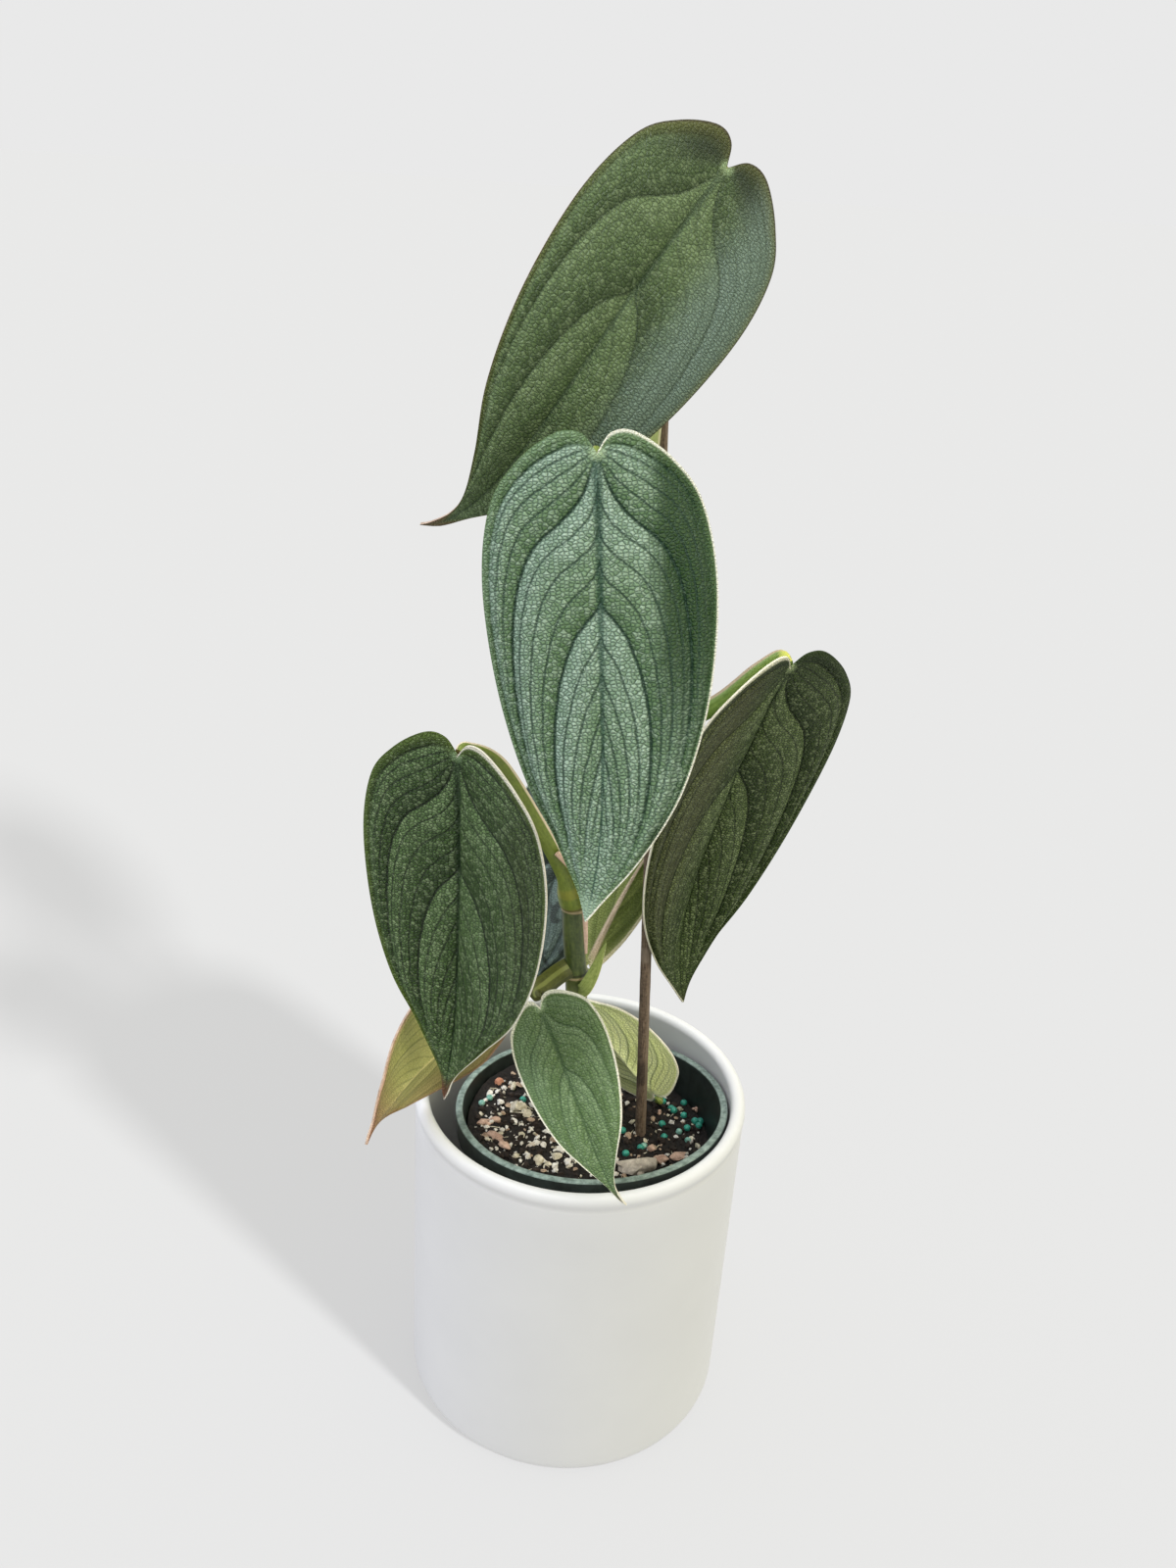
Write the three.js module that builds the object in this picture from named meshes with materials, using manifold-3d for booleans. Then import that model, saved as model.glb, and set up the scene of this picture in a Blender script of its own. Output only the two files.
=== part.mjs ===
import * as THREE from "three";
import { mergeVertices } from "three/addons/utils/BufferGeometryUtils.js";
import Module from "manifold-3d";

// A climbing philodendron with nine quilted heart-shaped leaves. It stands in a tilted plastic grower's pot inside
// a white ceramic cover pot. Millimetres, +Z up, front toward -Y, origin at the centre of the cover pot's base.

const wasm = await Module();
wasm.setup();

// Clearance between pieces that touch
const gap = 0.3;

// Cover pot: a straight cylinder with a rolled bead at the rim
const coverHeight = 141;
const coverRadius = 64.6;
const coverBeadRadius = 2.8;
const coverBeadCentre = 62.2;
const coverInner = 59.4;
const coverFloor = 6;
const coverFillet = 6;
const coverSides = 52;

// Grower's pot: measured along its own axis, which leans to the right and to the front at the base
const potHeight = 123.2;
const potRimRadius = 53.7;
const potRimWidth = 2.8;
const potLipHeight = 10;
const potShoulderRadius = 51;
const potBaseRadius = 37;
const potWall = 1.4;
const potSides = 48;
const potRimCentre = new THREE.Vector3(4.8, -0.5, 133);
const potAxis = new THREE.Vector3(-0.055, 0.115, 1).normalize();
const drainHoles = 5;
const drainRadius = 4;
const drainRing = 24;

// Soil: its surface lies this far below the middle of the pot's rim. It dips toward the right and rises toward the
// back by these shares, seen from the tilted pot.
const soilDepth = 15;
const soilDip = [-0.142, 0.115];
const soilRings = 11;
const soilSides = 44;
const soilRelief = 0.9;
const soilBank = 0.8;

// Bark and lumps on the soil: place in the frame's x and y, then width, depth, height and turn
const lumps = {
  bark: [22.4, -17.3, 8.6, 5.2, 3.4, 0.5],
  bark_light: [29.4, -13.1, 8.2, 5.0, 3.6, 0.2],
  right_bark: [40.0, -9.2, 7.6, 4.0, 2.6, 0.6],
  left_bark: [-32, -13, 8.4, 4.4, 3.2, 2.6],
  upper_left_bark: [-36.5, -4.7, 7.0, 4.2, 3.0, 0.4],
  pale_lump: [-24.3, 5.9, 8.0, 5.0, 4.0, 0.3],
  clay_ball: [-33, 19.9, 3.8, 3.6, 3.6, 0],
  cream_lump: [-27, 19.2, 4.6, 3.6, 3.0, 1.5],
  beige_lump: [-14.2, -22.3, 5.6, 4.2, 3.0, 2.1],
  white_lump: [-7.5, -18.7, 4.8, 3.8, 3.0, 0.9],
};

// Stake: a tapered wooden stick
const stakeFoot = [29.1, 4.0, 45];
const stakeTop = [10.2, -2.5, 411];
const stakeFootRadius = 2.3;
const stakeTopRadius = 1.6;
const stakeSides = 10;

// Stem: points of its path with the radius at each, and the heights of its ringed nodes
const stemPath = [
  [-1.5, 3.5, 84, 3.4], [-1, 2.5, 116, 4.1], [-2.5, 0, 150, 4.2], [-4.5, -2, 190, 4.1], [-7.4, -3.6, 222, 3.9],
  [-4.5, -1.5, 248, 3.5], [2, 1, 280, 3.2], [6.3, 0, 308, 2.9], [7.6, -1, 333, 2.5],
];
const stemNodes = [150, 194, 223, 254, 284, 304];
const stemNodeSwell = 0.6;
const stemNodeWidth = 2.2;
const stemSteps = 46;
const stemSides = 12;

// Blade thickness at the midrib and at the margin
const bladeThickness = 1.0;
const marginThickness = 0.7;

// Half of the leaf's margin, from the sinus round the lobe to the tip. Along the blade in lengths, where the lobe's
// negative figures are in lobe lengths, and across it in half widths
const marginPoints = [
  [0, 0], [-0.95, 0.13], [-1, 0.34], [0.01, 0.66], [0.1, 0.9], [0.27, 1], [0.5, 0.92], [0.7, 0.7],
  [0.85, 0.37], [0.94, 0.13], [1, 0],
];

// Veins: sunken lines at these shares of the half width, with their depths and half breadth
const veinShares = [0, 0.33, 0.66];
const veinDepths = [1.6, 1.1, 0.9];
const veinBreadth = 0.09;
const columns = [-1, -0.84, -0.66, -0.5, -0.33, -0.17, 0, 0.17, 0.33, 0.5, 0.66, 0.84, 1];
const rows = [0.03, 0.07, 0.13, 0.2, 0.29, 0.38, 0.47, 0.56, 0.65, 0.74, 0.82, 0.89, 0.95, 0.985];

// Leaves. base is where the blade meets its stalk. heading, pitch and roll turn the blade there, in degrees.
// length is from the sinus to the tip, with a tail of that share; half is the half width and skew its imbalance.
// bend and curl droop the blade and its tip, sway and hook turn them sideways, twist turns the blade about its
// midrib, rise lifts the left and the right half, and cup rounds both halves down again. wedge narrows the base.
const leaves = {
  top: {
    base: [21.8, -19, 469.9], heading: -124, pitch: -46, roll: -51.5, length: 138.9, half: 29.6, skew: 0.08,
    lobe: 0.05, tail: 0.1, bend: 46, curl: 32, sway: 17, hook: -47, twist: 2, rise: [5, 8], cup: 0.16,
    colour: 0x4a6350,
  },
  middle: {
    base: [-8.5, -63.9, 399.1], heading: -79, pitch: -64.5, roll: 11, length: 128.4, half: 32.4, skew: -0.03,
    lobe: 0.045, tail: 0, bend: 16, curl: -15, sway: -1, hook: -17, twist: 22, rise: [-3, 1], cup: 0.18,
    colour: 0x56756a,
  },
  left: {
    base: [-46.3, -44.7, 299.1], heading: -114, pitch: -94.5, roll: 1.5, length: 133.6, half: 36.5, skew: 0.09,
    lobe: 0.045, tail: 0.06, bend: -9, curl: -7, sway: 1, hook: -3, twist: -4, rise: [21, 11], cup: 0.03,
    colour: 0x3f5a47,
  },
  right: {
    base: [60.7, 3.1, 318.5], heading: 154.5, pitch: -67, roll: -153, length: 143.4, half: 39.8, skew: -0.07,
    lobe: 0.045, tail: 0, bend: -23, curl: -22, sway: -13, hook: 18, twist: 2, rise: [11, 15], cup: 0.02,
    colour: 0x455640,
  },
  front: {
    base: [-16.8, -28.2, 195.3], heading: -70, pitch: -23.5, roll: 29, length: 78, half: 17.5, skew: 0.09,
    lobe: 0.05, tail: 0.12, bend: 32, curl: 45, sway: -12, hook: 23, twist: 13, rise: [7, 6], cup: 0.09,
    colour: 0x55755a,
  },
  low_left: {
    base: [-31.4, 5.2, 167.8], heading: -137, pitch: -9.5, roll: 90.5, length: 79.5, half: 26.3, skew: 0.06,
    lobe: 0.045, tail: 0.08, bend: 23, curl: 2, sway: -32, hook: -20, twist: -13, rise: [11, 6], cup: -0.03,
    colour: 0x8a8f5a,
  },
  low_right: {
    base: [30.3, 16.9, 125.3], heading: 176.5, pitch: 52, roll: 73, length: 60.6, half: 16.3, skew: 0.08,
    lobe: 0.05, tail: 0.05, bend: 1, curl: 13, sway: 3, hook: -28, twist: 11, rise: [12, 11], cup: -0.02,
    colour: 0x93a878,
  },
  inner: {
    base: [-0.1, 4.2, 193.9], heading: 38.5, pitch: 55, roll: -145, length: 64.6, half: 11, skew: 0.03,
    lobe: 0.015, tail: 0.05, wedge: 0.5, bend: 22, curl: -1, sway: 13, hook: 8, twist: 0, rise: [13, 20], cup: 0.05,
    colour: 0x6b7a3c,
  },
  rear: {
    base: [-5, 37.1, 253.9], heading: -142, pitch: -70.5, roll: -31, length: 95.4, half: 24.3, skew: -0.01,
    lobe: 0.045, tail: 0.04, bend: 8, curl: 1, sway: 3, hook: -6, twist: 1, rise: [8, 8], cup: 0.08,
    colour: 0x4c6660,
  },
};

// Leaf stalks: points from inside the stem toward the blade, and the breadth and depth of the oval section, which
// narrows toward the blade. A straight one runs on into the midrib, the others meet the blade's underside. One that
// clasps the stem starts with that width.
const stalks = {
  top: {
    path: [[7.6, -1, 331], [7.8, -1.6, 338], [8.2, -4, 362], [8.4, -6.3, 395], [10.5, -5.5, 432], [15.5, -8.5, 457]],
    broad: 3.6, deep: 3.2, neck: 0.85,
  },
  middle: { path: [[5.8, 0, 304], [4, -13, 312], [1, -34, 334], [-4.5, -56, 374]], broad: 4.4, deep: 3.2 },
  left: {
    path: [[-7.2, -3.5, 225.5], [-8.3, -5, 230], [-11.3, -10, 240], [-19.5, -17.5, 260], [-34, -30.5, 290]],
    broad: 5.6, deep: 3.4, clasp: 11,
  },
  right: {
    path: [[3.2, 0.8, 285], [12, 4, 287], [24, 5.5, 293.5], [39, 5.5, 303.5], [51, 7, 315]],
    broad: 6.4, deep: 4.4,
  },
  front: {
    path: [[-5.5, -2.5, 198], [-11, -8, 197], [-15.5, -16, 197.5]],
    broad: 7.6, deep: 3.6, neck: 0.42, straight: true, inset: 3.3,
  },
  low_right: {
    path: [[32.5, 24, 98], [32.5, 24, 112], [33.2, 22, 119]],
    broad: 2.6, deep: 2.4, straight: true, inset: 1.75,
  },
  low_left: { path: [[-2.5, 0, 152], [-10, -1.5, 156], [-20, -2, 162]], broad: 4.4, deep: 3.2 },
  rear: { path: [[-4, -1.2, 252], [-2, 12, 261], [-2, 30, 268], [-3.3, 42, 265]], broad: 3.6, deep: 3 },
  inner: { path: [[-4.5, -2, 187.5], [-3.2, 0.6, 188.8]], broad: 4.6, deep: 3, straight: true, inset: 1.25 },
};
const stalkSides = 8;
const stalkReach = 5;
const facing = new THREE.Vector3(0, 0.9, -0.42).normalize();

// Sheaths: thin scales left standing at the nodes, as paths with their breadth and depth
const sheaths = {
  sheath_dry: {
    path: [[-14.2, -16.8, 252], [-8.2, -13.6, 243.5], [-4.0, -11.4, 232], [-2.4, -9.8, 218], [-1.6, -9, 207]],
    broad: 2.2, deep: 1, colour: 0xc4a18c,
  },
  sheath_green: {
    path: [[-4.5, -2, 187], [-1.6, -8, 190.5], [1.9, -8.4, 199], [5.4, -8.6, 212]],
    broad: 5.6, deep: 1.2, pointed: true, colour: 0x9db53e,
  },
};

const object = new THREE.Group();

function addNode(name, geometry, colour, roughness, metalness = 0) {
  const material = new THREE.MeshStandardMaterial({ color: colour, roughness, metalness });
  const mesh = new THREE.Mesh(geometry, material);
  mesh.name = name;
  object.add(mesh);
}

// Closed geometry from points and triangles, with its faces pointing out
function closedGeometry(points, triangles) {
  const a = new THREE.Vector3();
  let volume = 0;
  for (const [i, j, k] of triangles) volume += a.copy(points[j]).cross(points[k]).dot(points[i]);
  const index = triangles.flatMap(([i, j, k]) => (volume > 0 ? [i, j, k] : [i, k, j]));
  const geometry = new THREE.BufferGeometry().setFromPoints(points);
  geometry.setIndex(index);
  return geometry;
}

// The same for a geometry whose seams and poles are still split
function weld(geometry) {
  geometry.deleteAttribute("normal");
  geometry.deleteAttribute("uv");
  const merged = mergeVertices(geometry, 1e-4);
  const position = merged.getAttribute("position");
  const points = [];
  for (let i = 0; i < position.count; i += 1) points.push(new THREE.Vector3().fromBufferAttribute(position, i));
  const index = merged.getIndex().array;
  const triangles = [];
  for (let i = 0; i < index.length; i += 3) {
    const [p, q, r] = index.slice(i, i + 3);
    if (p !== q && q !== r && r !== p) triangles.push([p, q, r]);
  }
  return closedGeometry(points, triangles);
}

function solid(geometry) {
  const vertProperties = new Float32Array(geometry.getAttribute("position").array);
  const triVerts = new Uint32Array(geometry.getIndex().array);
  return new wasm.Manifold(new wasm.Mesh({ numProp: 3, vertProperties, triVerts }));
}

function fromSolid(manifold) {
  const mesh = manifold.getMesh();
  const geometry = new THREE.BufferGeometry();
  geometry.setAttribute("position", new THREE.BufferAttribute(new Float32Array(mesh.vertProperties), 3));
  geometry.setIndex([...mesh.triVerts]);
  return weld(geometry);
}

// The biggest of the bodies that a cut leaves
function mainBody(manifold) {
  const bodies = manifold.decompose();
  return bodies.reduce((best, body) => (body.volume() > best.volume() ? body : best));
}

// A profile of radius and height turned about an axis through a point
function turned(profile, sides, centre, axis) {
  const lathe = new THREE.LatheGeometry(profile.map(([r, z]) => new THREE.Vector2(r, z)), sides);
  lathe.rotateX(Math.PI / 2);
  lathe.applyQuaternion(new THREE.Quaternion().setFromUnitVectors(new THREE.Vector3(0, 0, 1), axis));
  lathe.translate(centre.x, centre.y, centre.z);
  return weld(lathe);
}

// Oval rings along points, closed by flat ends. sectionAt gives each ring's half breadth and half depth; the depth
// lies along the view that the facing direction gives. The last ring may be turned to lie flat on what it meets.
function sweep(points, sides, sectionAt, lastDirection) {
  const last = points.length - 1;
  const vertices = [];
  const triangles = [];
  points.forEach((point, i) => {
    const tangent = points[Math.min(i + 1, last)].clone().sub(points[Math.max(i - 1, 0)]).normalize();
    if (i === last && lastDirection) tangent.copy(lastDirection);
    const depth = facing.clone().addScaledVector(tangent, -facing.dot(tangent)).normalize();
    const breadth = tangent.clone().cross(depth);
    const [halfBreadth, halfDepth] = sectionAt(i / last, point);
    for (let k = 0; k < sides; k += 1) {
      const angle = (2 * Math.PI * k) / sides;
      const vertex = point.clone().addScaledVector(breadth, halfBreadth * Math.cos(angle));
      vertices.push(vertex.addScaledVector(depth, halfDepth * Math.sin(angle)));
    }
  });
  for (let i = 0; i < last; i += 1) {
    for (let k = 0; k < sides; k += 1) {
      const a = i * sides + k;
      const b = i * sides + ((k + 1) % sides);
      triangles.push([a, b, b + sides], [a, b + sides, a + sides]);
    }
  }
  for (let k = 1; k < sides - 1; k += 1) {
    triangles.push([0, k + 1, k], [last * sides, last * sides + k, last * sides + k + 1]);
  }
  return closedGeometry(vertices, triangles);
}

function curveThrough(points) {
  const places = points.map(([x, y, z]) => new THREE.Vector3(x, y, z));
  return new THREE.CatmullRomCurve3(places, false, "catmullrom", 0.5);
}

// Cover pot
const beadCentreZ = coverHeight - coverBeadRadius;
const beadArc = [];
for (let angle = -40; angle <= 180; angle += 31) {
  const a = THREE.MathUtils.degToRad(angle);
  beadArc.push([coverBeadCentre + coverBeadRadius * Math.cos(a), beadCentreZ + coverBeadRadius * Math.sin(a)]);
}
const coverProfile = [
  [0, 0], [coverRadius - coverFillet, 0], [coverRadius - 0.3 * coverFillet, 0.3 * coverFillet],
  [coverRadius, coverFillet], [coverRadius, beadCentreZ - 3.4], [coverRadius - 0.7, beadCentreZ - 2.4],
  ...beadArc, [coverInner, coverFloor + 5], [coverInner - 1.5, coverFloor + 1.5], [coverInner - 5, coverFloor],
  [0, coverFloor],
];
const upward = new THREE.Vector3(0, 0, 1);
addNode("cover_pot", turned(coverProfile, coverSides, new THREE.Vector3(), upward), 0xe9e8e6, 0.35);

// Grower's pot, from its own rim downward, with drain holes in its floor
function potOuterRadius(depth) {
  const share = (depth - potLipHeight) / (potHeight - potLipHeight - 1.5);
  return potShoulderRadius + (potBaseRadius - potShoulderRadius) * Math.min(Math.max(share, 0), 1);
}
const potFloorDepth = potHeight - potWall;
const potProfile = [
  [0, -potHeight], [potBaseRadius - 1.5, -potHeight], [potBaseRadius, 1.5 - potHeight],
  [potShoulderRadius, -potLipHeight], [potRimRadius - 0.4, -potLipHeight], [potRimRadius, -0.6],
  [potRimRadius - 0.6, 0], [potRimRadius - potRimWidth + 0.5, 0], [potRimRadius - potRimWidth, -0.6],
  [potShoulderRadius - potWall, -potLipHeight], [potOuterRadius(potFloorDepth) - potWall, -potFloorDepth],
  [0, -potFloorDepth],
];
const potTurn = new THREE.Quaternion().setFromUnitVectors(upward, potAxis);
let growerPot = solid(turned(potProfile, potSides, potRimCentre, potAxis));
for (let i = 0; i < drainHoles; i += 1) {
  const angle = (2 * Math.PI * i) / drainHoles;
  const hole = new THREE.CylinderGeometry(drainRadius, drainRadius, 6, 10);
  hole.rotateX(Math.PI / 2);
  hole.translate(drainRing * Math.cos(angle), drainRing * Math.sin(angle), -potHeight + 0.5);
  hole.applyQuaternion(potTurn);
  hole.translate(potRimCentre.x, potRimCentre.y, potRimCentre.z);
  growerPot = growerPot.subtract(solid(weld(hole)));
}
addNode("nursery_pot", fromSolid(growerPot), 0x26302c, 0.45);

// Stem: a tube that swells at each node
const stemCurve = curveThrough(stemPath);
const stemPoints = stemCurve.getPoints(stemSteps);
function stemRadiusAt(z) {
  let radius = stemPath[0][3];
  for (let i = 1; i < stemPath.length; i += 1) {
    const share = THREE.MathUtils.clamp((z - stemPath[i - 1][2]) / (stemPath[i][2] - stemPath[i - 1][2]), 0, 1);
    if (z > stemPath[i - 1][2]) radius = THREE.MathUtils.lerp(stemPath[i - 1][3], stemPath[i][3], share);
  }
  for (const node of stemNodes) radius += stemNodeSwell * Math.exp(-(((z - node) / stemNodeWidth) ** 2));
  return radius;
}
const finePoints = stemCurve.getPoints(400);
for (const node of stemNodes) {
  for (const widths of [-2, -0.6, 0, 0.6, 2]) {
    const height = node + widths * stemNodeWidth;
    const off = (point) => Math.abs(point.z - height);
    stemPoints.push(finePoints.reduce((best, point) => (off(point) < off(best) ? point : best)));
  }
}
stemPoints.sort((a, b) => a.z - b.z);
const stemRun = stemPoints.filter((point, i) => i === 0 || point.z - stemPoints[i - 1].z > 0.8);
const stemGeometry = sweep(stemRun, stemSides, (share, point) => [stemRadiusAt(point.z), stemRadiusAt(point.z)]);
addNode("stem", stemGeometry, 0x3c4f32, 0.55);
const stemReach = stemRun.concat(stemRun.at(-1).clone().add(new THREE.Vector3(0, 0, gap)));
const stemClear = solid(sweep(stemReach, stemSides, (share, point) => {
  const radius = stemRadiusAt(point.z) + gap * 1.15;
  return [radius, radius];
}));

// Stake
const stakePoints = curveThrough([stakeFoot, stakeTop]).getPoints(8);
const stakeRadius = (share) => THREE.MathUtils.lerp(stakeFootRadius, stakeTopRadius, share);
const stakeSection = (share) => [stakeRadius(share), stakeRadius(share)];
addNode("stake", sweep(stakePoints, stakeSides, stakeSection), 0x5b4c3d, 0.8);

// The leaf's margin as points on an even spacing along it, for one half, in millimetres
function marginOf(leaf, side) {
  const slim = (x) => 1 - (leaf.wedge ?? 0) * Math.max(0, 1 - Math.max(x, 0) / 0.45);
  const points = marginPoints.map(([x, y], i) => [i === 1 || i === 2 ? x * leaf.lobe : x, y * slim(x)]);
  if (leaf.tail > 0) {
    for (let i = 3; i < points.length; i += 1) points[i][0] *= 1 - leaf.tail;
    points[points.length - 2] = [(1 - leaf.tail) * 0.97, 0.1];
    points[points.length - 1] = [1 - leaf.tail * 0.45, 0.035];
    points.push([1, 0]);
  }
  const curve = curveThrough(points.map(([x, y]) => [x, y, 0]));
  curve.arcLengthDivisions = 400;
  const breadth = side * leaf.half * (1 + side * leaf.skew);
  return (share) => {
    const point = curve.getPointAt(share);
    return [point.x * leaf.length, point.y * breadth];
  };
}

// Frames along the midrib: a point, the direction across the blade and the direction up from it
function midribOf(leaf) {
  const rad = THREE.MathUtils.degToRad;
  const step = leaf.length / 60;
  const first = -6;
  const frames = [];
  for (let i = first; i <= 62; i += 1) {
    const share = i / 60;
    const past = Math.max(share, 0) ** 6;
    const down = rad(leaf.bend) * share + rad(leaf.curl) * past;
    const aside = rad(leaf.sway) * (share - 0.5) + rad(leaf.hook) * past;
    const along = new THREE.Vector3(
      Math.cos(down) * Math.cos(aside), Math.sin(aside), -Math.sin(down) * Math.cos(aside));
    const up = new THREE.Vector3(Math.sin(down), 0, Math.cos(down));
    const across = up.clone().cross(along);
    frames.push({ along, up, across, turn: rad(leaf.twist) * share });
  }
  const zero = -first;
  frames[zero].point = new THREE.Vector3();
  for (let i = zero + 1; i < frames.length; i += 1) {
    const mean = frames[i].along.clone().add(frames[i - 1].along).multiplyScalar(step / 2);
    frames[i].point = frames[i - 1].point.clone().add(mean);
  }
  for (let i = zero - 1; i >= 0; i -= 1) {
    const mean = frames[i].along.clone().add(frames[i + 1].along).multiplyScalar(step / 2);
    frames[i].point = frames[i + 1].point.clone().sub(mean);
  }
  return (distance) => {
    const place = THREE.MathUtils.clamp(distance / step - first, 0, frames.length - 1.001);
    const i = Math.floor(place);
    const mix = place - i;
    const point = frames[i].point.clone().lerp(frames[i + 1].point, mix);
    const up = frames[i].up.clone().lerp(frames[i + 1].up, mix);
    const across = frames[i].across.clone().lerp(frames[i + 1].across, mix);
    const turn = THREE.MathUtils.lerp(frames[i].turn, frames[i + 1].turn, mix);
    const tiltedAcross = across.clone().multiplyScalar(Math.cos(turn)).addScaledVector(up, Math.sin(turn));
    const tiltedUp = up.multiplyScalar(Math.cos(turn)).addScaledVector(across, -Math.sin(turn));
    return { point, across: tiltedAcross, up: tiltedUp };
  };
}

// The blade's own axes in the plant's frame: along the midrib, to its left, and up from its upper face
function bladeAxes(leaf) {
  const [a, e, g] = [leaf.heading, leaf.pitch, leaf.roll].map(THREE.MathUtils.degToRad);
  const along = new THREE.Vector3(Math.cos(e) * Math.cos(a), Math.cos(e) * Math.sin(a), Math.sin(e));
  const flat = new THREE.Vector3(-Math.sin(a), Math.cos(a), 0);
  const over = along.clone().cross(flat);
  const left = flat.clone().multiplyScalar(Math.cos(g)).addScaledVector(over, Math.sin(g));
  const up = over.multiplyScalar(Math.cos(g)).addScaledVector(flat, -Math.sin(g));
  return { along, left, up };
}

// The veins' sunken lines, shallower toward the sinus, the tip and wherever the blade is narrow
function veinRelief(leaf, share, row, localHalf) {
  const narrow = Math.min(1, Math.abs(localHalf) / (0.5 * leaf.half));
  const fade = Math.min(1, 7 * row, 6 * (1 - row)) * (leaf.half / 33) * narrow;
  return -fade * veinShares.reduce((sum, vein, i) => {
    return sum + veinDepths[i] * Math.exp(-(((Math.abs(share) - vein) / veinBreadth) ** 2));
  }, 0);
}

// A blade: both faces carry the same grid of rows from sinus to tip and columns that arch as the veins do
function bladeGeometry(leaf) {
  const midrib = midribOf(leaf);
  const margins = { 1: marginOf(leaf, 1), "-1": marginOf(leaf, -1) };
  const axes = bladeAxes(leaf);
  const place = (row, share, lift) => {
    const side = share < 0 ? -1 : 1;
    const [mx, my] = margins[side](row);
    const r = Math.abs(share);
    const x = (1 - r) * row * leaf.length + r * mx;
    const y = r * my;
    const frame = midrib(x);
    const rise = THREE.MathUtils.degToRad(leaf.rise[side > 0 ? 0 : 1]);
    const height = Math.abs(y) * Math.tan(rise) - leaf.cup * (y / leaf.half) ** 2 * leaf.half
      + veinRelief(leaf, share, row, my) + lift * THREE.MathUtils.lerp(bladeThickness, marginThickness, r * r) / 2;
    const local = frame.point.clone().addScaledVector(frame.across, y).addScaledVector(frame.up, height);
    return new THREE.Vector3(...leaf.base)
      .addScaledVector(axes.along, local.x).addScaledVector(axes.left, local.y).addScaledVector(axes.up, local.z);
  };
  const vertices = [];
  const triangles = [];
  const width = columns.length;
  const perFace = rows.length * width + 2;
  for (const lift of [1, -1]) {
    vertices.push(place(0, 0, lift));
    for (const row of rows) for (const share of columns) vertices.push(place(row, share, lift));
    vertices.push(place(1, 0, lift));
  }
  const at = (face, row, column) => face * perFace + 1 + row * width + column;
  for (const face of [0, 1]) {
    const add = (a, b, c) => triangles.push(face ? [a, c, b] : [a, b, c]);
    for (let c = 0; c < width - 1; c += 1) {
      add(face * perFace, at(face, 0, c), at(face, 0, c + 1));
      add(face * perFace + perFace - 1, at(face, rows.length - 1, c + 1), at(face, rows.length - 1, c));
      for (let r = 0; r < rows.length - 1; r += 1) {
        const mirrored = c < (width - 1) / 2;
        const [p, q, s, t] = [at(face, r, c), at(face, r, c + 1), at(face, r + 1, c + 1), at(face, r + 1, c)];
        if (mirrored) {
          add(p, s, q);
          add(p, t, s);
        } else {
          add(p, t, q);
          add(q, t, s);
        }
      }
    }
  }
  const rim = [0];
  for (let r = 0; r < rows.length; r += 1) rim.push(at(0, r, 0));
  rim.push(perFace - 1);
  for (let r = rows.length - 1; r >= 0; r -= 1) rim.push(at(0, r, width - 1));
  rim.forEach((a, i) => {
    const b = rim[(i + 1) % rim.length];
    triangles.push([a, b + perFace, b], [a, a + perFace, b + perFace]);
  });
  return closedGeometry(vertices, triangles);
}

const blades = {};
for (const [name, leaf] of Object.entries(leaves)) {
  blades[name] = bladeGeometry(leaf);
  addNode(`blade_${name}`, blades[name], leaf.colour, 0.5);
}

// A leaf stalk as a solid, made thicker all round where other pieces are cut to clear it
function stalkSolid(name, extra) {
  const stalk = stalks[name];
  const leaf = leaves[name];
  const axes = bladeAxes(leaf);
  const base = new THREE.Vector3(...leaf.base);
  const end = stalk.straight
    ? base.clone().addScaledVector(axes.along, -gap - stalk.inset)
    : base.clone().addScaledVector(axes.up, -bladeThickness / 2 - gap - 0.1);
  const inward = stalk.straight ? axes.along : axes.up;
  const before = end.clone().addScaledVector(inward, -(stalk.straight ? 3 : stalkReach));
  const curve = curveThrough([...stalk.path, before.toArray(), end.toArray()]);
  const steps = Math.max(8, Math.round(curve.getLength() / 7));
  const section = (share) => {
    const narrow = THREE.MathUtils.lerp(1, stalk.neck ?? 0.62, THREE.MathUtils.smoothstep(share, 0.75, 1));
    const halfBreadth = (stalk.broad / 2) * narrow;
    const halfDepth = (stalk.deep / 2) * THREE.MathUtils.lerp(1, 0.9, share);
    const hug = stalk.clasp ? 1 - THREE.MathUtils.smoothstep(share, 0.02, 0.2) : 0;
    const wrapped = (half) => THREE.MathUtils.lerp(half, (stalk.clasp ?? 0) / 2, hug) + extra;
    return [wrapped(halfBreadth), wrapped(halfDepth)];
  };
  return solid(sweep(curve.getSpacedPoints(steps), stalkSides, section, inward));
}

// Leaf stalks, each cut to sit round the stem where it starts there
for (const name of Object.keys(stalks)) {
  const whole = stalkSolid(name, 0);
  addNode(`petiole_${name}`, fromSolid(mainBody(whole.subtract(stemClear))), 0x7d9148, 0.5);
}

// Sheaths, cut clear of the stem and of the stalks beside them
for (const [name, sheath] of Object.entries(sheaths)) {
  const section = (share) => {
    const blunt = Math.sin(Math.PI * THREE.MathUtils.clamp(0.3 + 0.62 * share, 0, 1)) ** 0.6;
    const taper = sheath.pointed ? 0.1 + 0.9 * Math.cos((Math.PI / 2) * share ** 1.3) : blunt;
    return [(sheath.broad / 2) * taper, (sheath.deep / 2) * Math.max(taper, 0.6)];
  };
  let scale = solid(sweep(curveThrough(sheath.path).getPoints(10), 6, section)).subtract(stemClear);
  for (const stalk of ["left", "front", "inner"]) scale = scale.subtract(stalkSolid(stalk, gap * 1.1));
  addNode(name, fromSolid(mainBody(scale)), sheath.colour, 0.7);
}

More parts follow.
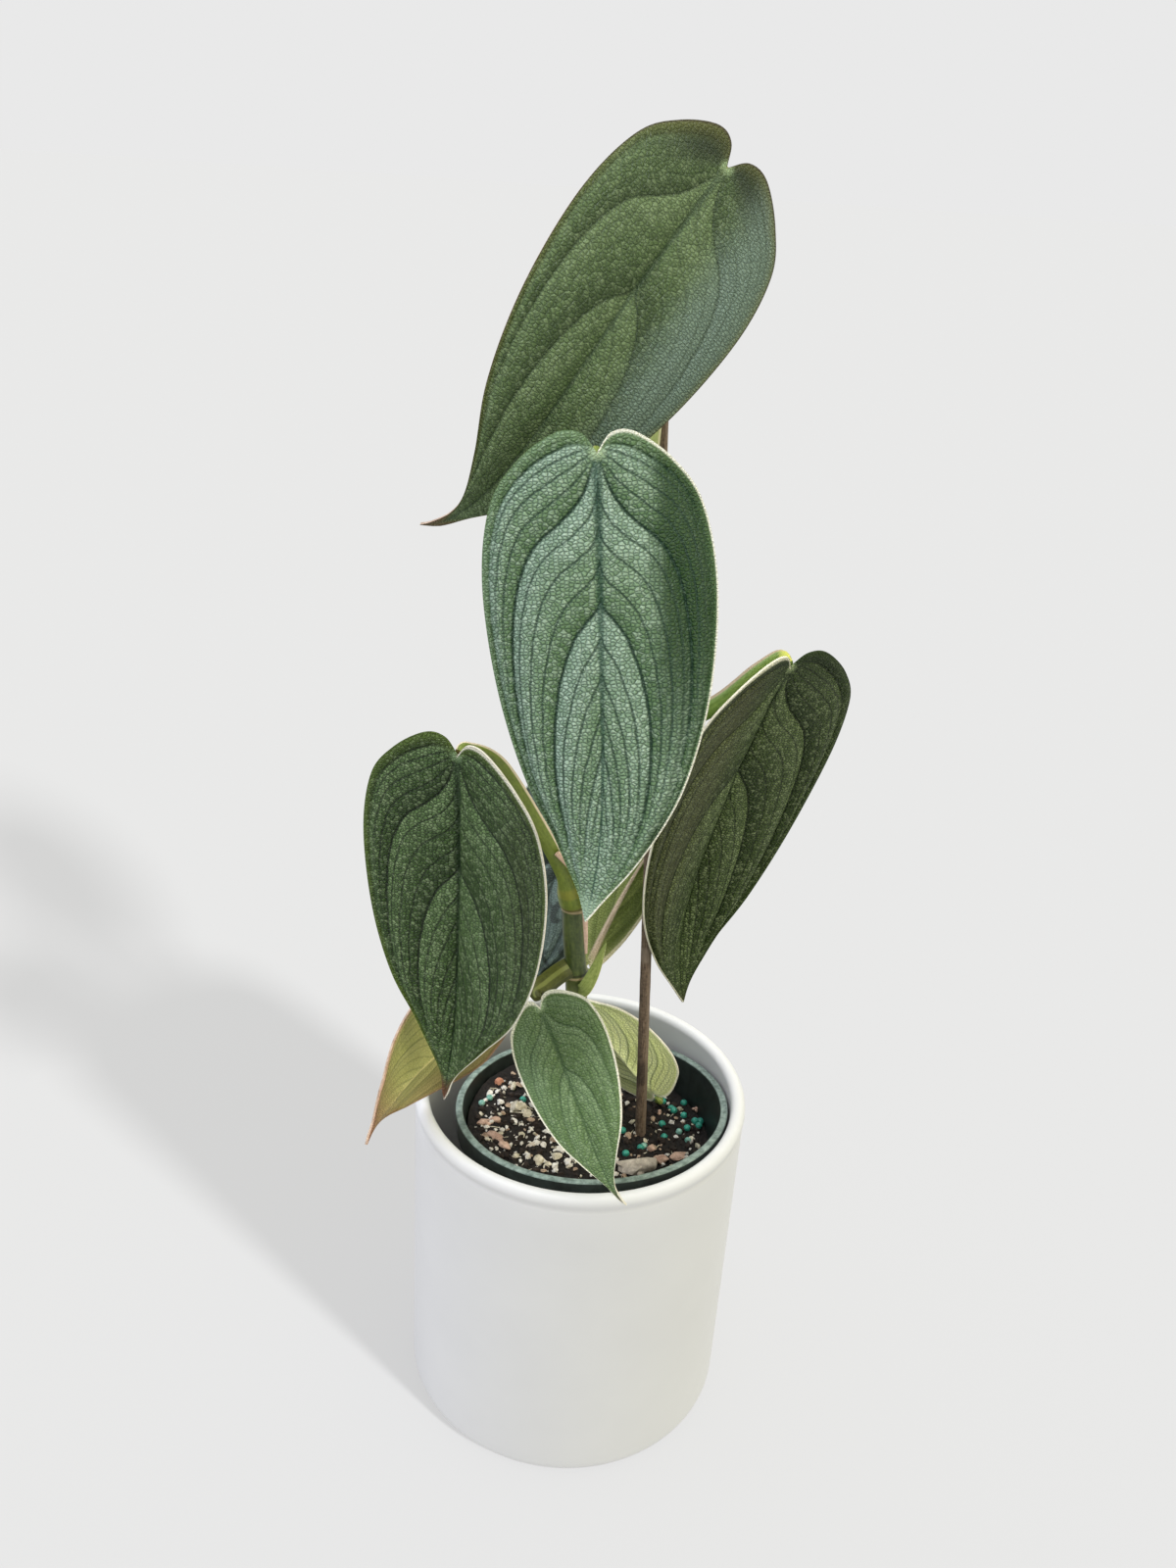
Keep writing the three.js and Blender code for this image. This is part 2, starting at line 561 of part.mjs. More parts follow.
// Soil: a plug with an uneven top, lumps fused to it, and plain holes for what stands in it
const inPot = (x, y, z) => new THREE.Vector3(x, y, z).applyQuaternion(potTurn).add(potRimCentre);
function soilHeight(x, y) {
  const broad = 0.5 * Math.sin(x * 0.21 + 1.3) * Math.cos(y * 0.17);
  const middling = 0.3 * Math.sin(x * 0.47 - y * 0.39);
  const fine = 0.2 * Math.cos(y * 0.83 + x * 0.61);
  const bank = soilBank * (Math.hypot(x, y) / potShoulderRadius) ** 4;
  return -soilDepth + soilDip[0] * x + soilDip[1] * y + soilRelief * (broad + middling + fine) + bank;
}
function soilRadiusAt(angle) {
  const [x, y] = [potShoulderRadius * Math.cos(angle), potShoulderRadius * Math.sin(angle)];
  return potOuterRadius(-soilHeight(x, y)) - potWall - 1.5 * gap;
}
const soilVertices = [inPot(0, 0, soilHeight(0, 0))];
const soilTriangles = [];
for (let ring = 1; ring <= soilRings; ring += 1) {
  for (let k = 0; k < soilSides; k += 1) {
    const angle = (2 * Math.PI * (k + 0.5 * (ring % 2))) / soilSides;
    const radius = (soilRadiusAt(angle) * ring) / soilRings;
    const [x, y] = [radius * Math.cos(angle), radius * Math.sin(angle)];
    soilVertices.push(inPot(x, y, soilHeight(x, y)));
  }
}
const soilFloorRadius = potOuterRadius(potFloorDepth - gap) - potWall - gap - 0.4;
for (let k = 0; k < soilSides; k += 1) {
  const angle = (2 * Math.PI * (k + 0.5 * (soilRings % 2))) / soilSides;
  const [x, y] = [soilFloorRadius * Math.cos(angle), soilFloorRadius * Math.sin(angle)];
  soilVertices.push(inPot(x, y, gap - potFloorDepth));
}
soilVertices.push(inPot(0, 0, gap - potFloorDepth));
for (let k = 0; k < soilSides; k += 1) {
  const next = (k + 1) % soilSides;
  soilTriangles.push([0, 1 + k, 1 + next]);
  for (let ring = 1; ring <= soilRings; ring += 1) {
    const [a, b] = [1 + (ring - 1) * soilSides, 1 + ring * soilSides];
    const leaning = ring < soilRings && ring % 2 === 1;
    if (leaning) soilTriangles.push([a + k, b + k, b + next], [a + k, b + next, a + next]);
    else soilTriangles.push([a + k, b + k, a + next], [a + next, b + k, b + next]);
  }
  const floor = 1 + soilRings * soilSides;
  soilTriangles.push([floor + k, floor + soilSides, floor + next]);
}
let soil = solid(closedGeometry(soilVertices, soilTriangles));
function soilSurfaceAt(x, y) {
  const local = new THREE.Vector3(x, y, potRimCentre.z).sub(potRimCentre);
  const slope = -(potAxis.x * local.x + potAxis.y * local.y) / potAxis.z;
  return potRimCentre.z + slope + soilHeight(local.x, local.y) / potAxis.z;
}
for (const [x, y, wide, deep, tall, turn] of Object.values(lumps)) {
  const lump = new THREE.DodecahedronGeometry(0.5);
  lump.rotateX(turn * 1.7);
  lump.scale(wide, deep, tall);
  lump.rotateZ(turn);
  lump.translate(x, y, soilSurfaceAt(x, y) + 0.25 * tall);
  soil = soil.add(solid(weld(lump)));
}
function holeAlong(points, sides, radiiAt) {
  const below = points[0].clone().addScaledVector(points[1].clone().sub(points[0]).normalize(), -gap - 0.1);
  const grown = (share, point) => radiiAt(share, point).map((radius) => radius + gap);
  return solid(sweep([below, ...points], sides, grown));
}
const rooted = stalks.low_right;
const stemInSoil = stemRun.filter((point) => point.z < 130);
const stemHole = holeAlong(stemInSoil, stemSides, (share, point) => [stemRadiusAt(point.z), stemRadiusAt(point.z)]);
const stakeHole = holeAlong(stakePoints, stakeSides, stakeSection);
const rootedHalf = [rooted.broad / 2 + 0.12, rooted.deep / 2 + 0.12];
const stalkHole = holeAlong(curveThrough(rooted.path).getPoints(8), stalkSides, () => rootedHalf);
soil = soil.subtract(stemHole).subtract(stakeHole).subtract(stalkHole);
addNode("soil", fromSolid(mainBody(soil)), 0x2a2320, 0.95);

export default object;
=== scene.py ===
import math

import bpy
import numpy as np
from mathutils import Matrix, Vector


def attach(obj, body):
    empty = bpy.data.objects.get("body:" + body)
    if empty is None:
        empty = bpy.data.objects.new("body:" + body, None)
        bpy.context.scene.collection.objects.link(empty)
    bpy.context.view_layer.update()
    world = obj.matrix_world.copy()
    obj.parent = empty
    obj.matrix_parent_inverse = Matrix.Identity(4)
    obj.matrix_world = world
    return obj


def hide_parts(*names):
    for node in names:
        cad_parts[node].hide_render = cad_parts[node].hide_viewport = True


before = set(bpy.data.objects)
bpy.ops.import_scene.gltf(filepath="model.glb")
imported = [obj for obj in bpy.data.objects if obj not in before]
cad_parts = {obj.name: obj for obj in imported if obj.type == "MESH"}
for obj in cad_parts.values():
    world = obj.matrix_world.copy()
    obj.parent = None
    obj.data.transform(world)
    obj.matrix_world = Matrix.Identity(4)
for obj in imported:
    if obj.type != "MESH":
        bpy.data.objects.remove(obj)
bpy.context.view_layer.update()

# Camera and light. A tall picture is taken from above the plant, with places in metres. The light is soft and
# comes mostly from above, cool on the left and faintly warm on the right. One low sun from the right front
# lays the shadow on the floor.
MM = 0.001
CAMERA_PLACE = (-0.005, -0.422, 0.469)
CAMERA_PITCH = math.radians(25.1)
CAMERA_ROLL = math.radians(3.8)
CAMERA_LENS = 30.375
BACKGROUND = "e9e9e9"
SKY_STRENGTH = 1.9


def linear(code):
    """Linear red, green, blue and alpha of an sRGB hex colour."""
    shares = [int(code[i:i + 2], 16) / 255 for i in (0, 2, 4)]
    return [c / 12.92 if c <= 0.04045 else ((c + 0.055) / 1.055) ** 2.4 for c in shares] + [1.0]


def add_node(tree, kind, *inputs, out=0, **settings):
    """A node with its settings. Inputs go in order or by name, linked or set, and one output is handed
    back."""
    node = tree.nodes.new("ShaderNode" + kind)
    for name, value in settings.items():
        setattr(node, name, value)
    for place, value in enumerate(inputs):
        for name, entry in (value if isinstance(value, dict) else {place: value}).items():
            if isinstance(entry, bpy.types.NodeSocket):
                tree.links.new(entry, node.inputs[name])
            else:
                node.inputs[name].default_value = entry
    return node.outputs[out] if node.outputs else None


forward = Vector((0, math.cos(CAMERA_PITCH), -math.sin(CAMERA_PITCH)))
level = Vector((1, 0, 0))
above = level.cross(forward)
right = level * math.cos(CAMERA_ROLL) + above * math.sin(CAMERA_ROLL)
upward = above * math.cos(CAMERA_ROLL) - level * math.sin(CAMERA_ROLL)
camera_data = bpy.data.cameras.new("camera")
camera_data.lens = CAMERA_LENS
camera_data.sensor_width = 36
camera_data.clip_start = 0.01
camera = bpy.data.objects.new("camera", camera_data)
camera.matrix_world = (Matrix.Translation(CAMERA_PLACE)
                       @ Matrix((right, upward, -forward)).transposed().to_4x4())
bpy.context.scene.collection.objects.link(camera)
bpy.context.scene.camera = camera
bpy.context.scene.view_settings.view_transform = "Standard"

world = bpy.data.worlds.new("studio")
world.use_nodes = True
bpy.context.scene.world = world
sky = world.node_tree
sky.nodes.clear()
direction = add_node(sky, "SeparateXYZ", add_node(sky, "TexCoord", out="Generated")).node.outputs
leftward = add_node(sky, "MapRange", direction["X"], 1.0, -1.0)
skyward = add_node(sky, "MapRange", direction["Z"], 0.25, 0.95, interpolation_type="SMOOTHSTEP")
side_tint = add_node(sky, "Mix", {0: leftward, 6: linear("f6f1cc"), 7: linear("dde2fa")}, out=2,
                     data_type="RGBA")
height_tone = add_node(sky, "Mix", {0: skyward, 6: linear("a8a8a8"), 7: linear("ffffff")}, out=2,
                       data_type="RGBA")
sky_tone = add_node(sky, "Mix", {0: 1.0, 6: side_tint, 7: height_tone}, out=2, data_type="RGBA",
                    blend_type="MULTIPLY")
lit = add_node(sky, "Background", sky_tone, SKY_STRENGTH)
seen = add_node(sky, "Background", linear(BACKGROUND), 1.0)
is_seen = add_node(sky, "LightPath", out="Is Camera Ray")
add_node(sky, "OutputWorld", add_node(sky, "MixShader", is_seen, lit, seen))

lit_groups = {name: bpy.data.collections.new(name)
              for name in ("lit_floor", "lit_plant", "lit_cover", "shades_cover")}

# Each sun: the direction it comes from, its strength, its spread in degrees, its tint, and what it lights.
SUNS = {
    "sun_over_left": ((-0.50, -0.30, 0.82), 1.7, 30, "f8f9ff", "lit_plant"),
    "sun_right_front": ((0.60, -0.55, 0.58), 0.9, 20, "fff4dc", "lit_plant"),
    "sun_overhead": ((-0.08, -0.04, 0.99), 1.3, 50, "f6f8ff", "lit_cover"),
    "sun_low_right": ((0.68, -0.61, 0.41), 11.6, 6, "ffffff", "lit_floor"),
}
for sun_name, (toward, strength, spread, tint, group) in SUNS.items():
    sun_data = bpy.data.lights.new(sun_name, "SUN")
    sun_data.energy = strength
    sun_data.angle = math.radians(spread)
    sun_data.color = linear(tint)[:3]
    sun = bpy.data.objects.new(sun_name, sun_data)
    sun.rotation_euler = Vector(toward).to_track_quat("Z", "Y").to_euler()
    sun.light_linking.receiver_collection = lit_groups[group]
    if group == "lit_cover":
        sun.light_linking.blocker_collection = lit_groups["shades_cover"]
    bpy.context.scene.collection.objects.link(sun)


# Floor: one plain pale sheet under everything. It glows a little, as a lit sweep does, so that only the low
# sun's shadow shows on it.
FLOOR_REACH = 30000
FLOOR_TONE = "595959"
FLOOR_GLOW = 0.545


def material(name, roughness=0.5):
    """A new material, its node tree and its surface shader."""
    made = bpy.data.materials.new(name)
    made.use_nodes = True
    shader = made.node_tree.nodes["Principled BSDF"]
    shader.inputs["Roughness"].default_value = roughness
    return made, made.node_tree, shader


def mesh_piece(name, vertices, faces, materials, face_material=None, crease=50, group="lit_plant"):
    """A smooth mesh object from points in millimetres."""
    mesh = bpy.data.meshes.new(name)
    mesh.from_pydata((np.asarray(vertices, float) * MM).tolist(), [], [tuple(face) for face in faces])
    for made in materials:
        mesh.materials.append(made)
    if face_material is not None:
        mesh.polygons.foreach_set("material_index", np.asarray(face_material, np.int32))
    mesh.shade_smooth()
    if crease:
        mesh.set_sharp_from_angle(angle=math.radians(crease))
    piece = bpy.data.objects.new(name, mesh)
    bpy.context.scene.collection.objects.link(piece)
    lit_groups[group].objects.link(piece)
    return piece


# Matt paper: even and without gloss, so that nothing but the shadow shows on it.
sweep_paper, tree, shader = material("pale_sweep", 0.9)
shader.inputs["Base Color"].default_value = linear(FLOOR_TONE)
shader.inputs["Emission Color"].default_value = linear("ffffff")
shader.inputs["Emission Strength"].default_value = FLOOR_GLOW
shader.inputs["Specular IOR Level"].default_value = 0.0
floor_corners = np.array([(-1, -1, 0), (1, -1, 0), (1, 1, 0), (-1, 1, 0)]) * FLOOR_REACH
floor = mesh_piece("floor", floor_corners, [(0, 1, 2, 3)], [sweep_paper], group="lit_floor")


# Cover pot: slip-cast stoneware, one straight wall with a rolled bead at the rim, dipped in a satin white
# glaze. It stands on its flat base and holds the grower's pot.
COVER_HEIGHT = 141
COVER_RADIUS = 64.6
BEAD_RADIUS = 2.8
BEAD_CENTRE = 62.2
COVER_INNER = 59.4
COVER_FLOOR = 6
COVER_FILLET = 6
GLAZE_MOTTLE = 45
GLAZE_RIPPLE = 16
GLAZE_RIPPLE_DEPTH = 0.2


def ring_faces(rings, sides):
    """Quads between rings of points that follow each other."""
    return [(i * sides + k, i * sides + (k + 1) % sides,
             (i + 1) * sides + (k + 1) % sides, (i + 1) * sides + k)
            for i in range(rings - 1) for k in range(sides)]


def turned(profile, sides):
    """Points and faces of a profile of radius and height turned about Z."""
    angle = 2 * np.pi * np.arange(sides) / sides
    points = [(r * math.cos(a), r * math.sin(a), z) for r, z in profile for a in angle]
    return np.array(points), ring_faces(len(profile), sides)


def arc(centre, radius, start, end, steps):
    """Points of an arc in degrees."""
    angles = np.radians(np.linspace(start, end, steps))
    return [(centre[0] + radius * math.cos(a), centre[1] + radius * math.sin(a)) for a in angles]


bead_z = COVER_HEIGHT - BEAD_RADIUS
cover_profile = [(0.01, 0), (COVER_RADIUS - COVER_FILLET - 2, 0)]
cover_profile += arc((COVER_RADIUS - COVER_FILLET, COVER_FILLET), COVER_FILLET, -90, 0, 12)
cover_profile += [(COVER_RADIUS, z) for z in np.linspace(12, bead_z - 4.4, 14)]
cover_profile += [(COVER_RADIUS - 0.1, bead_z - 3.9), (COVER_RADIUS - 0.5, bead_z - 3.0)]
cover_profile += arc((BEAD_CENTRE, bead_z), BEAD_RADIUS, -38, 180, 20)
cover_profile += [(COVER_INNER, z) for z in np.linspace(bead_z - 4, COVER_FLOOR + 6, 8)]
cover_profile += arc((COVER_INNER - 5, COVER_FLOOR + 5), 5, 0, -90, 6)
cover_profile += [(0.01, COVER_FLOOR)]
# Satin glaze: a clean white with broad, soft lights. A slow mottle keeps the white from being flat, and a low
# ripple bends the lights a little.
glaze, tree, shader = material("satin_white_glaze", 0.3)
place = add_node(tree, "TexCoord", out="Object")
mottle = add_node(tree, "TexNoise", {"Vector": place, "Scale": 1 / (GLAZE_MOTTLE * MM), "Detail": 3,
                                     "Roughness": 0.6})
glaze_tone = add_node(tree, "Mix", {0: mottle, 6: linear("dadad9"), 7: linear("e4e4e2")}, out=2,
                      data_type="RGBA")
tree.links.new(glaze_tone, shader.inputs["Base Color"])
ripple = add_node(tree, "TexNoise", {"Vector": place, "Scale": 1 / (GLAZE_RIPPLE * MM), "Detail": 2})
bump = add_node(tree, "Bump", {"Height": ripple, "Distance": GLAZE_RIPPLE_DEPTH * MM, "Strength": 0.25})
tree.links.new(bump, shader.inputs["Normal"])
cover_points, cover_faces = turned(cover_profile, 160)
cover = mesh_piece("cover_pot_glazed", cover_points, cover_faces, [glaze], crease=60, group="lit_cover")
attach(cover, "root")
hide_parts("cover_pot")
lit_groups["shades_cover"].objects.link(cover)


# Grower's pot: thin injection-moulded polypropylene, dark green-black, leaning inside the cover pot. It has a
# band under the rim, a flat rim top in paler grey-green, dusty walls, and drain holes in its floor.
POT_HEIGHT = 123.2
POT_RIM_RADIUS = 53.7
POT_RIM_WIDTH = 2.8
POT_LIP = 10
POT_SHOULDER = 51
POT_BASE = 37
POT_WALL = 1.4
POT_CENTRE = np.array([4.8, -0.5, 133])
POT_AXIS = np.array([-0.055, 0.115, 1]) / np.linalg.norm([-0.055, 0.115, 1])
POT_CHAMFER = 1.5
POT_SIDES = 160
DRAIN_HOLES = 5
DRAIN_RING = 24
DRAIN_RADIUS = 4
POT_TURN = np.array(Vector((0, 0, 1)).rotation_difference(Vector(POT_AXIS)).to_matrix())


def in_pot(points):
    """Points on the grower's pot's own axis, from its rim, as points of the whole plant."""
    return np.asarray(points, float) @ POT_TURN.T + POT_CENTRE


def mottled(name, dark, light, grain, roughness, relief, low=0.3, high=0.7):
    """A dull surface mottled from dark to light. Its grain and relief are in millimetres, and low and high
    are where the mottle is all dark and all light."""
    made, tree, shader = material(name, roughness)
    place = add_node(tree, "TexCoord", out="Object")
    mottle = add_node(tree, "TexNoise", {"Vector": place, "Scale": 1 / (grain * MM), "Detail": 5,
                                         "Roughness": 0.7})
    tone = add_node(tree, "ValToRGB", mottle)
    ends = tone.node.color_ramp.elements
    ends[0].position, ends[1].position = low, high
    ends[0].color, ends[1].color = linear(dark), linear(light)
    tree.links.new(tone, shader.inputs["Base Color"])
    bump = add_node(tree, "Bump", {"Height": mottle, "Distance": relief * MM, "Strength": 0.8})
    tree.links.new(bump, shader.inputs["Normal"])
    return made


# Moulded polypropylene under a film of dust: dull and nearly black, a dark ring inside the white pot.
pot_plastic = mottled("dusty_polypropylene", "141a18", "2e3835", grain=4.2, roughness=0.42, relief=0.1,
                      low=0.35, high=0.8)
# The same plastic on the rim's flat top, paler grey-green: a light line around the soil.
rim_plastic = mottled("pale_rim_polypropylene", "3e504a", "9db0a8", grain=3.1, roughness=0.5, relief=0.1)
pot_floor = POT_HEIGHT - POT_WALL
inner_base = POT_BASE - POT_WALL
pot_profile = [(POT_BASE - POT_CHAMFER, -POT_HEIGHT), (POT_BASE, POT_CHAMFER - POT_HEIGHT)]
pot_profile += [(POT_BASE + (POT_SHOULDER - POT_BASE) * s,
                 POT_CHAMFER - POT_HEIGHT + (POT_HEIGHT - POT_CHAMFER - POT_LIP) * s)
                for s in np.linspace(0.1, 1, 10)]
rim_inner = POT_RIM_RADIUS - POT_RIM_WIDTH
pot_profile += [(POT_RIM_RADIUS - 0.4, -POT_LIP), (POT_RIM_RADIUS, -0.6), (POT_RIM_RADIUS - 0.15, -0.15),
                (POT_RIM_RADIUS - 0.6, 0), (rim_inner + 0.5, 0), (rim_inner + 0.1, -0.2), (rim_inner, -0.6),
                (POT_SHOULDER - POT_WALL, -POT_LIP), (inner_base, -pot_floor)]
pot_points, pot_faces = turned(pot_profile, POT_SIDES)

# The rim's top is the run of five rings that starts eight rings before the profile's end.
rim_start = len(pot_profile) - 8
pot_materials = [1 if rim_start <= face[0] // POT_SIDES <= rim_start + 4 else 0 for face in pot_faces]
drain_angles = 2 * np.pi * np.arange(DRAIN_HOLES) / DRAIN_HOLES
drain_centres = [(DRAIN_RING * math.cos(a), DRAIN_RING * math.sin(a)) for a in drain_angles]
vertices = list(map(tuple, pot_points))
for height, radius in ((-POT_HEIGHT, POT_BASE - POT_CHAMFER), (-pot_floor, inner_base)):
    disc_points, disc_faces = turned([(r, height) for r in np.linspace(0.4, radius, 26)], 80)
    for face in disc_faces:
        x, y, _ = disc_points[list(face)].mean(axis=0)
        if all(math.hypot(x - cx, y - cy) > DRAIN_RADIUS for cx, cy in drain_centres):
            pot_faces.append(tuple(i + len(vertices) for i in face))
            pot_materials.append(0)
    vertices += list(map(tuple, disc_points))
growers_pot = mesh_piece("nursery_pot_moulded", in_pot(vertices), pot_faces, [pot_plastic, rim_plastic],
                         pot_materials, crease=40)
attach(growers_pot, "root")
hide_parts("nursery_pot")
lit_groups["shades_cover"].objects.link(growers_pot)


# Soil: a damp, nearly black peat mix, filled level while the pot leaned. On its rough crust lie peat
# crumbs, white perlite, fibres, tan and pink bark, a clay ball and teal fertiliser beads, each sunk a
# little into it.
SOIL_DEPTH = 15
SOIL_DIP = (-0.142, 0.115)
SOIL_RELIEF = 0.9
SOIL_BANK = 0.8
SOIL_GAP = 0.45
SOIL_RINGS = 80
SOIL_SIDES = 200
SOIL_CENTRE = (5.5, -2.5)
SCATTER_REACH = 45
SCATTER_EDGE = 46
LUMP_RISE = 0.28
LUMP_CUTS = 5
LUMP_CUT_AT = (0.45, 0.8)
LUMP_TILT = 0.5
rng = np.random.default_rng(7)


def pot_radius_at(depth):
    """The grower's pot's outer radius at a depth under its rim."""
    share = np.clip((depth - POT_LIP) / (POT_HEIGHT - POT_LIP - POT_CHAMFER), 0, 1)
    return POT_SHOULDER + (POT_BASE - POT_SHOULDER) * share


def soil_height(x, y):
    """The soil's broad relief on the grower's pot's own axis."""
    broad = 0.5 * np.sin(x * 0.21 + 1.3) * np.cos(y * 0.17)
    middling = 0.3 * np.sin(x * 0.47 - y * 0.39)
    fine = 0.2 * np.cos(y * 0.83 + x * 0.61)
    bank = SOIL_BANK * (np.hypot(x, y) / POT_SHOULDER) ** 4
    return -SOIL_DEPTH + SOIL_DIP[0] * x + SOIL_DIP[1] * y + SOIL_RELIEF * (broad + middling + fine) + bank


def crust(x, y):
    """Finer lumps of the crust, in millimetres."""
    rough_lumps = np.sin(1.9 * x + 1.1 * y) * np.sin(1.4 * y - 1.7 * x + 2)
    small_lumps = np.sin(3.3 * x - 2.1 * y + 1) * np.cos(2.9 * y + 1.2 * x)
    return 0.4 * rough_lumps + 0.3 * small_lumps


# Damp peat: nearly black and without shine, so that the pale grains stand out on it.
peat = mottled("damp_peat", "070605", "2a211c", grain=2.4, roughness=0.9, relief=1.2, low=0.38, high=0.78)
around = 2 * np.pi * np.arange(SOIL_SIDES) / SOIL_SIDES
edge_height = soil_height(POT_SHOULDER * np.cos(around), POT_SHOULDER * np.sin(around))
top_radius = pot_radius_at(-edge_height) - POT_WALL - SOIL_GAP
inward = np.linspace(0.006, 1, SOIL_RINGS)[:, None]
gx, gy = inward * top_radius * np.cos(around), inward * top_radius * np.sin(around)
jitter = rng.uniform(-0.4, 0.4, gx.shape) * (inward < 0.99)
settled = np.minimum(1, (1 - inward) * top_radius / 2)
soil_top = np.stack([gx, gy, soil_height(gx, gy) + crust(gx, gy) * settled + jitter], -1)
floor_radius = pot_radius_at(pot_floor - SOIL_GAP) - POT_WALL - SOIL_GAP - 0.4
wall_foot = np.stack([floor_radius * np.cos(around), floor_radius * np.sin(around),
                      np.full(SOIL_SIDES, SOIL_GAP - pot_floor)], -1)
wall = [soil_top[-1] + (wall_foot - soil_top[-1]) * s for s in np.linspace(0.1, 1, 6)]
under = [wall_foot * [s, s, 1] for s in (0.5, 0.01)]
soil_points = np.concatenate([soil_top.reshape(-1, 3)] + wall + under)
soil_faces = ring_faces(SOIL_RINGS + len(wall) + len(under), SOIL_SIDES)
soil_faces.append(tuple(range(SOIL_SIDES - 1, -1, -1)))
soil = mesh_piece("soil_crust", in_pot(soil_points), soil_faces, [peat], crease=0)
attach(soil, "root")
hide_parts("soil")


def on_soil(x, y):
    """The crust's point at a place of the whole plant's frame."""
    dx, dy = x - POT_CENTRE[0], y - POT_CENTRE[1]
    plane = POT_CENTRE[2] - (POT_AXIS[0] * dx + POT_AXIS[1] * dy) / POT_AXIS[2] - SOIL_DEPTH / POT_AXIS[2]
    local = (np.array([x, y, plane]) - POT_CENTRE) @ POT_TURN
    return in_pot([[local[0], local[1], soil_height(local[0], local[1]) + crust(local[0], local[1])]])[0]


def lump_shape():
    """Points and triangles of a ball with 42 points."""
    golden = (1 + 5 ** 0.5) / 2
    corners = [(-1, golden, 0), (1, golden, 0), (-1, -golden, 0), (1, -golden, 0),
               (0, -1, golden), (0, 1, golden), (0, -1, -golden), (0, 1, -golden),
               (golden, 0, -1), (golden, 0, 1), (-golden, 0, -1), (-golden, 0, 1)]
    near = [np.argsort([math.dist(a, b) for b in corners])[1:6] for a in corners]
    triangles = {tuple(sorted((i, j, k)))
                 for i in range(12) for j in near[i] for k in near[i] if k in near[j]}
    points = [np.array(c) / np.linalg.norm(c) for c in corners]
    middles, split = {}, []
    for i, j, k in sorted(t for t in triangles if len(set(t)) == 3):
        if np.dot(np.cross(points[j] - points[i], points[k] - points[i]), points[i]) < 0:
            j, k = k, j
        edge = []
        for a, b in ((i, j), (j, k), (k, i)):
            key = (min(a, b), max(a, b))
            if key not in middles:
                middles[key] = len(points)
                points.append((points[a] + points[b]) / np.linalg.norm(points[a] + points[b]))
            edge.append(middles[key])
        split += [(i, edge[0], edge[2]), (j, edge[1], edge[0]), (k, edge[2], edge[1]), tuple(edge)]
    return np.array(points), split


BALL_POINTS, BALL_FACES = lump_shape()


def turned_about(points, angle, first, second):
    """Points turned in the plane of two of their axes."""
    made = points.copy()
    made[:, first] = points[:, first] * math.cos(angle) - points[:, second] * math.sin(angle)
    made[:, second] = points[:, first] * math.sin(angle) + points[:, second] * math.cos(angle)
    return made


def scatter(name, lumps, made, rough_share, round_form=False):
    """Lumps in one piece on the soil. Each has its place in x and y, width, depth, height and turn, and all
    but the round ones are balls cut flat on a few sides."""
    points, triangles = [], []
    for x, y, wide, deep, tall, turned_by in lumps:
        form = BALL_POINTS.copy()
        if not round_form:
            cuts = rng.normal(size=(LUMP_CUTS, 3))
            cuts /= np.linalg.norm(cuts, axis=1)[:, None]
            for flat, level_at in zip(cuts, rng.uniform(*LUMP_CUT_AT, LUMP_CUTS)):
                form -= np.maximum(form @ flat - level_at, 0)[:, None] * flat
            form *= 1 + rng.normal(0, rough_share, len(form))[:, None]
        form = turned_about(form * [wide / 2, deep / 2, tall / 2], rng.uniform(-LUMP_TILT, LUMP_TILT), 1, 2)
        form = turned_about(form, turned_by, 0, 1) + on_soil(x, y) + [0, 0, LUMP_RISE * tall]
        triangles += [tuple(i + len(points) for i in face) for face in BALL_FACES]
        points += list(form)
    piece = mesh_piece(name, points, triangles, [made], crease=0 if round_form else 35)
    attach(piece, "root")


def soil_places(count, smallest, largest, flat=0.75, centre=SOIL_CENTRE, reach=SCATTER_REACH):
    """Seeded places over a round patch of the soil, for lumps of which most are small."""
    made = []
    while len(made) < count:
        x, y = rng.uniform(-reach, reach, 2)
        from_middle = (x + centre[0] - SOIL_CENTRE[0], y + centre[1] - SOIL_CENTRE[1])
        if math.hypot(x, y) < reach and math.hypot(*from_middle) < SCATTER_EDGE:
            size = smallest + (largest - smallest) * rng.random() ** 2.2
            made.append((centre[0] + x, centre[1] + y, size, size * rng.uniform(0.6, 1),
                         size * flat * rng.uniform(0.7, 1.1), rng.uniform(0, math.pi)))
    return made


# The larger lumps and the beads each have their own place on the soil.
BARK_GREY = [(23, -18.8, 17, 11, 7, 0.25), (24.5, -21, 6.5, 4.2, 3, 1.1), (14, -24, 5, 3.4, 2.6, 0.3),
             (-16.5, -12.5, 8, 2.2, 1.6, 0.7), (42.5, -14, 4.6, 3.4, 2.6, 1.9)]
BARK_PINK = [(31.8, -12.4, 8.2, 5.2, 4, 0.2), (29.5, -6.2, 3.6, 3.2, 3, 0), (40.2, -9.2, 8.2, 4.2, 2.8, 0.6),
             (-32, -13, 8.8, 4.4, 3.4, 2.6), (-28, -17, 7, 3.6, 2.8, 2.4), (-36.5, -4.7, 7.4, 4, 3, 0.4),
             (-32.5, -2.5, 5, 3.4, 2.6, 2.8), (48.5, 20.7, 3.4, 3.2, 3.1, 0), (33.1, 16.7, 2.8, 2.4, 2.2, 1)]
